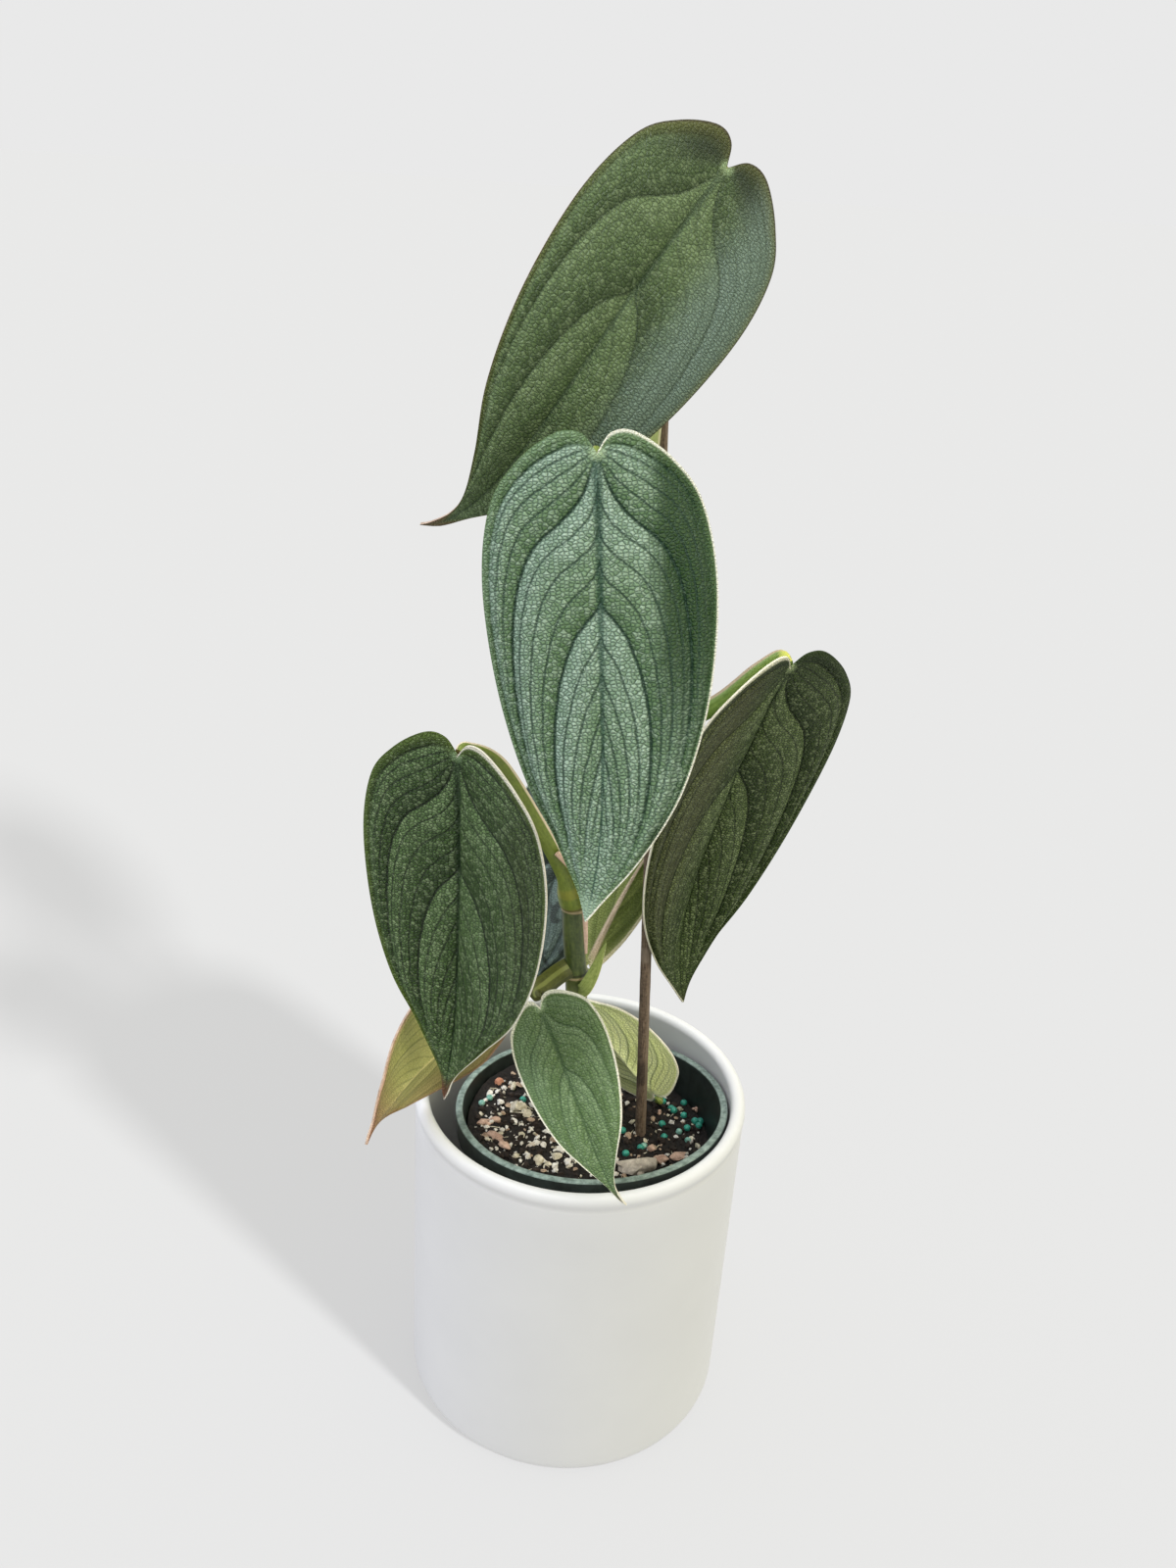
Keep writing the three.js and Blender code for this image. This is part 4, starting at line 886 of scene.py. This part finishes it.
def leaf_surface(name, tones, pale_side=0, roughness=0.42, shine=0.4, lines=0.75, cells=1.0, bands=1.0,
                 flank=(1, 0, 9, 0, 1), lobe=0.0, edging=0.6, tip_start=0.93, midrib=0.7, rib_width=1.0,
                 fold_shade=0.0):
    """A quilted face of living leaf. Between dark veins lie small raised pebbles crossed by a ladder of fine
    veins, silvery below each main vein and dark above the next, with a tinted margin and tip and a pale
    sinus. The silvery and dark bands beside the main veins are partly the leaf's own silvering and partly
    painted light and painted shade of the quilting. flank is a side, the millimetres from the midrib where
    its tint starts and is full, its strength, and the row it ends at."""
    made, tree, shader = material(name, roughness)
    maps = {}
    for map_name in ("veins", "plan", "edge", "slope"):
        uv = add_node(tree, "UVMap", uv_map=map_name)
        maps[map_name] = add_node(tree, "SeparateXYZ", uv).node.outputs
    along, lateral, forward_mm = maps["veins"]["Y"], maps["plan"]["X"], maps["plan"]["Y"]
    to_edge, row, slope = maps["edge"]["X"], maps["edge"]["Y"], maps["slope"]["X"]
    place = add_node(tree, "TexCoord", out="Object")
    cloud = add_node(tree, "TexNoise", {"Vector": place, "Scale": 1 / (CLOUD * MM), "Detail": 3})
    patch = add_node(tree, "TexNoise", {"Vector": place, "Scale": 1 / (PATCH * MM), "Detail": 2})
    grain = add_node(tree, "TexNoise", {"Vector": place, "Scale": 1 / (GRAIN * MM), "Detail": 3,
                                        "Roughness": 0.7})
    in_cells = add_node(tree, "VectorMath", add_node(tree, "UVMap", uv_map="plan"),
                        (1 / CELL_WIDE, 1 / CELL_TALL, 0), operation="MULTIPLY")
    cell_settings = {"Vector": in_cells, "Scale": 1.0, "Randomness": 0.85}
    cell_edge = add_node(tree, "TexVoronoi", cell_settings, voronoi_dimensions="2D",
                         feature="DISTANCE_TO_EDGE")
    cell_chance = add_node(tree, "TexVoronoi", cell_settings, voronoi_dimensions="2D", out="Color")
    wobble = add_node(tree, "Math", patch, -0.5, operation="ADD")
    drift = add_node(tree, "Math", wobble, slope, operation="MULTIPLY")
    rank = add_node(tree, "Math", drift, 0.8, maps["veins"]["X"], operation="MULTIPLY_ADD")
    smooth = {"interpolation_type": "SMOOTHSTEP"}

    # Main veins, with silver below each and shade above the next: partly the leaf's own silvering, partly
    # painted light and painted shade of the quilting
    panel = add_node(tree, "Math", add_node(tree, "Math", rank, 4.0, operation="ADD"), operation="FRACT")
    quilted = add_node(tree, "MapRange", rank, 2.2, 1.6, **smooth)
    light_side = add_node(tree, "MapRange", panel, 0.85, 0.0, 0.1, 1.0, **smooth)
    light_share = add_node(tree, "Mix", quilted, {2: 0.55, 3: light_side})
    clouded = add_node(tree, "MapRange", cloud, 0.3, 0.62, 0.6, 1.0)
    silver_and_light_share = add_node(tree, "Math", light_share, clouded, operation="MULTIPLY")
    dark_side = add_node(tree, "MapRange", panel, 0.62, 1.0, 0.0, 0.85 * bands, **smooth)
    shade_share = add_node(tree, "Math", dark_side, quilted, operation="MULTIPLY")
    main_gap = add_node(tree, "Math", rank, 0.5, operation="PINGPONG")
    main_mm = add_node(tree, "Math", main_gap, slope, operation="DIVIDE")
    main_line = add_node(tree, "MapRange", main_mm, *MAIN_VEIN, 0.0, lines, **smooth)
    main_spaced = add_node(tree, "MapRange", slope, *CLOSE_VEINS, 0.3, 1.0)
    main_share = add_node(tree, "Math", add_node(tree, "Math", main_line, quilted, operation="MULTIPLY"),
                          main_spaced, operation="MULTIPLY")

    # Fine veins, and the net of cells, some lighter and some duller
    minor = add_node(tree, "Math", rank, MINOR_STEP, operation="DIVIDE")
    minor_gap = add_node(tree, "Math", minor, 0.5, operation="PINGPONG")
    minor_mm = add_node(tree, "Math", minor_gap,
                        add_node(tree, "Math", slope, 1 / MINOR_STEP, operation="MULTIPLY"),
                        operation="DIVIDE")
    minor_line = add_node(tree, "MapRange", minor_mm, *MINOR_VEIN, 0.0, lines, **smooth)
    minor_spaced = add_node(tree, "MapRange", slope, *CLOSE_VEINS, 0.2, 1.0)
    minor_share = add_node(tree, "Math", minor_line, minor_spaced, operation="MULTIPLY")
    net_line = add_node(tree, "MapRange", cell_edge, 0.2, 0.03, 0.0, 0.75 * cells, **smooth)
    net_broken = add_node(tree, "MapRange", grain, 0.3, 0.55, 0.3, 1.0)
    net_share = add_node(tree, "Math", net_line, net_broken, operation="MULTIPLY")
    glow_share = add_node(tree, "MapRange", cell_chance, 0.45, 0.85, 0.0, 0.32 * cells)
    dull_share = add_node(tree, "MapRange", cell_chance, 0.55, 0.15, 0.0, 0.4 * cells)

    # Midrib; flank, painted sheen on some blades and painted shade on one; lobes in painted shade; dark
    # patches of painted fold shade; margin; its pale edge, partly a painted highlight; tip and sinus
    across_mm = add_node(tree, "Math", lateral, operation="ABSOLUTE")
    rib_reach = add_node(tree, "MapRange", row, 0.0, 0.8, rib_width, 0.3)
    rib_place = add_node(tree, "Math", across_mm, rib_reach, operation="DIVIDE")
    midrib_share = add_node(tree, "MapRange", rib_place, *MIDRIB_LINE, 0.0, midrib, **smooth)
    # flank paints a grey-blue sheen over one half of the top and front blades, and shade over one half of the
    # middle blade.
    side, flank_from, flank_to, flank_strength, flank_end = flank
    flank_place = add_node(tree, "Math", wobble, 5.0,
                           add_node(tree, "Math", lateral, side, operation="MULTIPLY"),
                           operation="MULTIPLY_ADD")
    flank_reach = add_node(tree, "MapRange", flank_place, flank_from, flank_to, 0.0, flank_strength, **smooth)
    flank_row = add_node(tree, "MapRange", row, flank_end + 0.12, flank_end - 0.12, **smooth)
    flank_share = add_node(tree, "Math", flank_reach, flank_row, operation="MULTIPLY")
    # Painted shade: the lobes by the sinus are darkened toward the shade tone.
    lobe_shade_rank = add_node(tree, "MapRange", rank, -0.15, -0.75, 0.0, lobe, **smooth)
    lobe_shade_row = add_node(tree, "MapRange", row, 0.42, 0.16, **smooth)
    lobe_shade_share = add_node(tree, "Math", lobe_shade_rank, lobe_shade_row, operation="MULTIPLY")
    # Painted shade: dark patches that stand for the shade in the folds of a crumpled blade.
    fold_shade_noise = add_node(tree, "TexNoise", {"Vector": place, "Scale": 1 / (FOLD_SHADE_SIZE * MM), "Detail": 1,
                                           "Distortion": 1.5})
    fold_shade_share = add_node(tree, "MapRange", fold_shade_noise, 0.5, 0.62, 0.0, fold_shade, **smooth)
    edge_place = add_node(tree, "Math", cloud, -2.4, to_edge, operation="MULTIPLY_ADD")
    margin_share = add_node(tree, "MapRange", edge_place, *EDGE_TINT, 0.0, 0.7, **smooth)
    # Partly painted highlight: a pale line along the margin, on one half only where a blade has a pale side.
    edging_line = add_node(tree, "MapRange", to_edge, edging + 0.2, edging - 0.25, 0.0, 0.85, **smooth)
    on_pale_side = (add_node(tree, "MapRange", lateral, -0.5 * pale_side, 0.5 * pale_side)
                    if pale_side else 1.0)
    edging_share = add_node(tree, "Math", edging_line, on_pale_side, operation="MULTIPLY")
    tip_place = add_node(tree, "Math", cloud, 0.1, row, operation="MULTIPLY_ADD")
    tip_share = add_node(tree, "MapRange", tip_place, tip_start + 0.05, 1.05, **smooth)
    from_sinus = add_node(tree, "VectorMath", add_node(tree, "CombineXYZ", lateral, forward_mm), out="Value",
                          operation="LENGTH")
    sinus_share = add_node(tree, "MapRange", from_sinus, *SINUS_SPOT, 0.0, 0.7, **smooth)

    # The body's tone with every tint over it, and then the pebbled relief and an uneven gloss
    tone = linear(tones["body"])
    for share, colour in ((silver_and_light_share, "silver_and_light"), (shade_share, "shade"), (glow_share, "glow"),
                          (dull_share, "shade"), (lobe_shade_share, "shade"), (flank_share, "flank"),
                          (net_share, "deep"), (minor_share, "deep"), (main_share, "deep"),
                          (midrib_share, "rib"), (fold_shade_share, "deep"), (margin_share, "margin"),
                          (tip_share, "tip"), (sinus_share, "sinus"), (edging_share, "edging")):
        tone = add_node(tree, "Mix", {0: share, 6: tone, 7: linear(tones[colour])}, out=2, data_type="RGBA")
    tree.links.new(tone, shader.inputs["Base Color"])
    crown = add_node(tree, "MapRange", cell_edge, 0.0, 0.35, 0.0, 1.0, **smooth)
    raised = add_node(tree, "Math", grain, 0.5, crown, operation="MULTIPLY_ADD")
    height = add_node(tree, "Math", raised, minor_share, operation="SUBTRACT")
    bump = add_node(tree, "Bump", {"Height": height, "Distance": CELL_RELIEF * MM * cells, "Strength": 0.9})
    tree.links.new(bump, shader.inputs["Normal"])
    gloss = add_node(tree, "MapRange", grain, 0.3, 0.7, roughness - 0.06, roughness + 0.12)
    tree.links.new(gloss, shader.inputs["Roughness"])
    shader.inputs["Specular IOR Level"].default_value = shine
    return made


# Living leaf: the upper face has a satin skin, silvery on the quilting and nearly black in the veins, with
# bands of painted light and painted shade beside the main veins. The underside is matt and paler. Each blade
# has the tones and strengths of its upper face, then those of its underside.
BLADE_LOOKS = {
    "top": (
        dict(body="475d33", silver_and_light="63784f", glow="8b9c78", shade="15220e", deep="25351f", rib="40523a",
             flank="72877d", margin="5c5f2c", tip="5e4a30", sinus="8ea57a", edging="33291c"),
        # Painted sheen: the flank lays a grey-blue sheen over the top blade's left half. Painted shade: lobe
        # darkens its lobes.
        dict(lines=0.3, cells=0.75, bands=0.5, flank=(1, 6, 20, 0.75, 0.95), lobe=0.9, edging=0.25,
             tip_start=0.93, shine=0.28),
        dict(body="7b8c5c", silver_and_light="8b9b6c", glow="9aa87c", shade="6a7b4b", deep="55693f", rib="b9b68c",
             flank="7b8c5c", margin="8a7a5a", tip="8a6a4e", sinus="9aa87c", edging="a8906a")),
    "middle": (
        dict(body="708b68", silver_and_light="91aa98", glow="b8ccb8", shade="47653a", deep="223a2c", rib="2c4a3c",
             flank="1d3a06", margin="5d7848", tip="8ca48e", sinus="a9bf9a", edging="e6e6d8"),
        # Painted shade: the flank lays dark green shade over the middle blade's left half.
        dict(lines=0.75, cells=1.0, bands=0.75, flank=(1, 11, 19, 0.9, 0.6), edging=0.4, rib_width=1.5,
             shine=0.27),
        dict(body="86976a", silver_and_light="94a47a", glow="a4b28a", shade="74855a", deep="5f7346", rib="bcc296",
             flank="86976a", margin="9a9a78", tip="9a9a70", sinus="a4b28a", edging="c9c6a8")),
    "left": (
        dict(body="38531f", silver_and_light="5f7a49", glow="9bad84", shade="1b2d0d", deep="101c0c", rib="1c3018",
             flank="3f431d", margin="52651c", tip="5a3a2a", sinus="7f9a70", edging="e2decc"),
        dict(lines=0.65, cells=1.1, bands=0.45, flank=(1, 16, 30, 0.3, 0.6), edging=0.5,
             rib_width=1.5, shine=0.22),
        dict(body="74854f", silver_and_light="84935f", glow="929f6e", shade="637443", deep="55663c", rib="b5b688",
             flank="74854f", margin="84745a", tip="8a5f4e", sinus="929f6e", edging="b09a7c")),
    "right": (
        dict(body="34470f", silver_and_light="627446", glow="92a078", shade="1a2c04", deep="131f08", rib="1e2e10",
             flank="565230", margin="243606", tip="3c4020", sinus="8ea070", edging="dcdcc4"),
        # Painted shade: lobe darkens this blade's lobes by the sinus.
        dict(lines=0.6, cells=1.1, bands=0.75, flank=(-1, 4, 24, 0.45, 1.2), lobe=0.6, edging=0.5, shine=0.2),
        dict(body="74854f", silver_and_light="84935f", glow="929f6e", shade="637443", deep="55663c", rib="b5b688",
             flank="74854f", margin="84745a", tip="7a7a50", sinus="929f6e", edging="b09a7c")),
    "front": (
        dict(body="5a7540", silver_and_light="728b60", glow="97ab88", shade="4a6336", deep="2c4524", rib="36502c",
             flank="7d9a78", margin="5e7a3c", tip="55432e", sinus="9db58a", edging="ecead8"),
        # Painted sheen: the flank lays a pale grey-green sheen over the front blade's right half. Painted
        # shade: lobe darkens its lobes a little.
        dict(lines=0.4, cells=0.8, bands=0.45, flank=(-1, 3, 14, 0.4, 0.5), lobe=0.2, edging=0.65,
             tip_start=0.86, rib_width=1.1),
        dict(body="8fa066", silver_and_light="9cab76", glow="aab886", shade="7d9056", deep="6a8048", rib="c5cc98",
             flank="8fa066", margin="b3b38a", tip="b3a27a", sinus="aab886", edging="e4e0c8")),
    "low_left": (
        dict(body="56683a", silver_and_light="6a7a50", glow="80906a", shade="465828", deep="3c4a2a", rib="46552f",
             flank="56683a", margin="7a7048", tip="9a7a58", sinus="80906a", edging="c9a58a"),
        dict(lines=0.5, cells=0.6, bands=0.4, edging=0.6),
        dict(body="a2a25e", silver_and_light="b2af70", glow="c2c08a", shade="8a8e4c", deep="6c7440", rib="c3b77c",
             flank="a98668", margin="98735a", tip="8a634e", sinus="b0ae78", edging="c79f88"),
        dict(lines=0.45, cells=0.4, bands=0.2, flank=(-1, 4, 20, 0.4, 1.2), edging=0.5, tip_start=0.66)),
    "low_right": (
        dict(body="5a7648", silver_and_light="6f8b5c", glow="8aa478", shade="4a663a", deep="3a4f2e", rib="46603a",
             flank="5a7648", margin="7a8a58", tip="7a8a58", sinus="8aa478", edging="d3d8b8"),
        dict(lines=0.5, cells=0.6, bands=0.4, edging=0.6),
        # Painted light: the underside is painted far paler than its own green, in place of the light that
        # shines through the blade.
        dict(body="e6f0a8", silver_and_light="eef6bc", glow="f4f8d2", shade="d2e090", deep="4a6a3c", rib="eaf2c0",
             flank="e6f0a8", margin="dce8a0", tip="dce8a0", sinus="e6efc2", edging="fbfbe6"),
        dict(lines=0.4, cells=0.4, bands=0.25, edging=0.5)),
    "inner": (
        dict(body="55622c", silver_and_light="6c7a40", glow="7f8d52", shade="465222", deep="3a4520", rib="4a5526",
             flank="55622c", margin="7f8d52", tip="8a8a50", sinus="7f8d52", edging="cfc7a4"),
        dict(lines=0.5, cells=0.6, bands=0.4, edging=0.6),
        dict(body="6c7b33", silver_and_light="838f48", glow="98a35e", shade="54621f", deep="434f1e", rib="d8c3a8",
             flank="4d5c22", margin="a9b070", tip="8a8a50", sinus="909c56", edging="ddd5b4"),
        dict(lines=0.4, cells=0.5, bands=0.5, flank=(1, 2, 6, 0.7, 1.2), edging=0.9, midrib=0.95,
             rib_width=1.6)),
    "rear": (
        dict(body="4c5f57", silver_and_light="74877f", glow="97a8a0", shade="2b3a33", deep="151d19", rib="22302a",
             flank="4c5f57", margin="3a4a3c", tip="4a5a48", sinus="8fa39b", edging="b0b8ac"),
        # Painted shade: dark patches over the rear blade for the shade in its folds.
        dict(lines=0.35, cells=0.4, bands=0.9, edging=0.4, fold_shade=0.75),
        dict(body="687a54", silver_and_light="788a64", glow="889a74", shade="586a46", deep="4a5c3c", rib="a9b083",
             flank="687a54", margin="6a6a50", tip="6a6a48", sinus="889a74", edging="9aa08a")),
}
UNDER_DEFAULTS = dict(lines=0.5, cells=0.5, bands=0.4, edging=0.6)
ROSY_BLADES = ("top", "low_left")

# Leaf margin: a thin, dull line of clear tissue around the blade, cream on most and rosy on two. Where a
# blade has a pale side, the cream lies on that half only and is partly a painted highlight.
cream_rim = mottled("cream_margin", "d0cab6", "ece7d8", grain=3.3, roughness=0.6, relief=0.1)
rosy_rim = mottled("rosy_margin", "8d7460", "c8b29e", grain=3.3, roughness=0.6, relief=0.1)
for leaf_name, leaf in LEAVES.items():
    upper_tones, upper_look, under_tones, *under_look = BLADE_LOOKS[leaf_name]
    pale_side = PALE_SIDE.get(leaf_name, 0)
    upper = leaf_surface(f"leaf_{leaf_name}_upper", upper_tones, pale_side, **upper_look)
    lower = leaf_surface(f"leaf_{leaf_name}_under", under_tones, pale_side, roughness=0.6,
                         **(under_look[0] if under_look else UNDER_DEFAULTS))
    rim = rosy_rim if leaf_name in ROSY_BLADES else cream_rim
    cell = BROAD_GRID if leaf["half"] > BROAD_HALF else SMALL_GRID
    blade = blade_piece(f"blade_{leaf_name}_quilted", leaf, upper, lower, rim, cell,
                        QUILT.get(leaf_name, 1.0), pale_side)
    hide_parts(f"blade_{leaf_name}")


# Leaf stalks: fleshy living stalks, oval, with a shallow channel in front between two low ridges. Each
# leaves the stem at a node, and narrows toward its blade. One clasps the stem before it turns away.
GAP = 0.3
UNDER_BLADE = 0.1
STALK_TURN = (0.02, 0.2)
STALK_NECK = 0.62
NECK_START = 0.75
DEPTH_TAPER = 0.1
RUN_IN = 5
RUN_IN_END_ON = 3
STALK_STEP = 0.8

# path runs from the foot toward the blade, in millimetres. broad and deep are the stalk's whole breadth and
# depth, neck is the share of its breadth that is left at the blade, and clasp is how thick its foot is
# where it hugs the stem. A stalk with an inset meets its blade end on, that far short of the sinus.
STALKS = {
    "top": dict(path=[(7.6, -1, 331), (7.8, -1.6, 338), (8.2, -4, 362), (8.4, -6.3, 395), (10.5, -5.5, 432),
                      (15.5, -8.5, 457)], broad=3.6, deep=3.2, neck=0.85),
    "middle": dict(path=[(5.8, 0, 304), (4, -13, 312), (1, -34, 334), (-4.5, -56, 374)], broad=4.4, deep=3.2),
    "left": dict(path=[(-7.2, -3.5, 225.5), (-8.3, -5, 230), (-11.3, -10, 240), (-19.5, -17.5, 260),
                       (-34, -30.5, 290)], broad=5.6, deep=3.4, clasp=11),
    "right": dict(path=[(3.2, 0.8, 285), (12, 4, 287), (24, 5.5, 293.5), (39, 5.5, 303.5), (51, 7, 315)],
                  broad=6.4, deep=4.4),
    "front": dict(path=[(-5.5, -2.5, 198), (-11, -8, 197), (-15.5, -16, 197.5)], broad=7.6, deep=3.6,
                  neck=0.42, inset=3.3),
    "low_right": dict(path=[(32.5, 24, 98), (32.5, 24, 112), (33.2, 22, 119)], broad=2.6, deep=2.4,
                      inset=1.75),
    "low_left": dict(path=[(-2.5, 0, 152), (-10, -1.5, 156), (-20, -2, 162)], broad=4.4, deep=3.2),
    "rear": dict(path=[(-4, -1.2, 252), (-2, 12, 261), (-2, 30, 268), (-3.3, 42, 265)], broad=3.6, deep=3),
    "inner": dict(path=[(-4.5, -2, 187.5), (-3.2, 0.6, 188.8)], broad=4.6, deep=3, inset=1.25),
}

# Living stalk skin: satin yellow-green streaks, with a pale or pinkish line along the ridge and a yellow
# joint on one. Each has its dark and light tone and its bands. On one, a dark band along its side is painted
# shade.
PLAIN_STALK = ("6f8237", "96a654", [("round", 0.56, 0.05, "c9bb96", 0.6)])
STALK_LOOKS = {
    "top": ("8c9c54", "b4bf80", [("round", 0.6, 0.05, "d8cfae", 0.6)]),
    "left": ("57681b", "7e8e2e",
             # Painted shade: the dark band along one side of this stalk.
             [("round", 0.56, 0.065, "e3d3bb", 0.9), ("round", 0.03, 0.08, "3c4a17", 0.6),
              ("along", 0.09, 0.03, "96922f", 0.5), ("along", 0.0, 0.012, "5d4a28", 0.7)]),
    "right": ("5d7a2c", "86a04c",
              [("round", 0.94, 0.07, "b79c86", 0.8), ("along", 0.98, 0.06, "cdd052", 0.75)]),
    "front": ("34380f", "545a22",
              [("round", 0.72, 0.05, "8c9652", 0.5), ("round", 0.9, 0.04, "262a0c", 0.6)]),
}


def eased(share, low, high):
    """A share that goes smoothly from 0 at low to 1 at high."""
    step = min(max((share - low) / (high - low), 0), 1)
    return step * step * (3 - 2 * step)


# The outline of a stalk: shallower in the channel at its front, raised at the ridge on either side of it.
round_by = 2 * np.pi * np.arange(36) / 36
channelled = 1 - 0.12 * np.exp(-((round_by - math.radians(270)) / 0.5) ** 2)
for ridge in (math.radians(200), math.radians(340)):
    channelled = channelled + 0.1 * np.exp(-((round_by - ridge) / 0.16) ** 2)
for stalk_name, stalk in STALKS.items():
    leaf = LEAVES[stalk_name]
    along, _, up = blade_axes(leaf)
    straight = "inset" in stalk
    inward = along if straight else up
    end = np.array(leaf["base"]) - inward * (
        GAP + stalk["inset"] if straight else BLADE_THICKNESS / 2 + GAP + UNDER_BLADE)
    before = end - inward * (RUN_IN_END_ON if straight else RUN_IN)
    line = smooth_through(stalk["path"] + [tuple(before), tuple(end)], 24)
    length = float(np.sum(np.linalg.norm(np.diff(line, axis=0), axis=1)))
    line = at_shares(line, np.linspace(0, 1, max(24, int(length / STALK_STEP))))
    low, high, bands = STALK_LOOKS.get(stalk_name, PLAIN_STALK)

    def stalk_section(share, point, stalk=stalk):
        """The stalk's half breadth, half depth and outline at a share of its length."""
        narrow = 1 + (stalk.get("neck", STALK_NECK) - 1) * eased(share, NECK_START, 1)
        hug = 1 - eased(share, *STALK_TURN) if "clasp" in stalk else 0
        halves = (stalk["broad"] / 2 * narrow, stalk["deep"] / 2 * (1 - DEPTH_TAPER * share))
        wide, deep = (half + (stalk.get("clasp", 0) / 2 - half) * hug for half in halves)
        return wide, deep, channelled * (1 - hug) + hug

    skin = drawn_skin(f"stalk_{stalk_name}_skin", low, high, length, bands)
    made = tube(f"petiole_{stalk_name}_fleshy", line, stalk_section, 36, skin, inward)
    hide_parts(f"petiole_{stalk_name}")


# Sheaths: the thin scales that once wrapped young leaves, left where they grew from the stem. One has dried
# to a pinkish strip, one is still green and comes to a point.
SHEATH_LENGTH = 40
SHEATHS = {
    "sheath_dry": dict(path=[(-14.2, -16.8, 252), (-8.2, -13.6, 243.5), (-4.0, -11.4, 232), (-2.4, -9.8, 218),
                             (-1.6, -9, 207)], broad=2.2, deep=1, low="b8937f", high="e6cbb8"),
    "sheath_green": dict(path=[(-4.5, -2, 187), (-1.6, -8, 190.5), (1.9, -8.4, 199), (5.4, -8.6, 212)],
                         broad=5.6, deep=1.2, low="6f8138", high="a8b66a"),
}
for sheath_name, sheath in SHEATHS.items():
    line = at_shares(smooth_through(sheath["path"], 20), np.linspace(0, 1, 50))
    pointed = sheath_name == "sheath_green"

    def sheath_section(share, point, sheath=sheath, pointed=pointed):
        """The sheath's half breadth, half depth and outline at a share of its length."""
        blunt = max(math.sin(math.pi * min(0.3 + 0.62 * share, 1)), 0.02) ** 0.6
        taper = 0.1 + 0.9 * math.cos(math.pi / 2 * share ** 1.3) if pointed else blunt
        return sheath["broad"] / 2 * taper, sheath["deep"] / 2 * max(taper, 0.6), 1.0

    # Scale leaf: papery and dull, drawn out in fine streaks. The green one has a pale edge and a darker foot.
    edge = [("round", 0.5, 0.07, "e8dcc0", 0.7), ("along", 0.0, 0.2, "5f7426", 0.6)] if pointed else []
    skin = drawn_skin(f"{sheath_name}_skin", sheath["low"], sheath["high"], SHEATH_LENGTH, edge,
                      roughness=0.6)
    made = tube(f"{sheath_name}_scale", line, sheath_section, 16, skin)
    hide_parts(sheath_name)
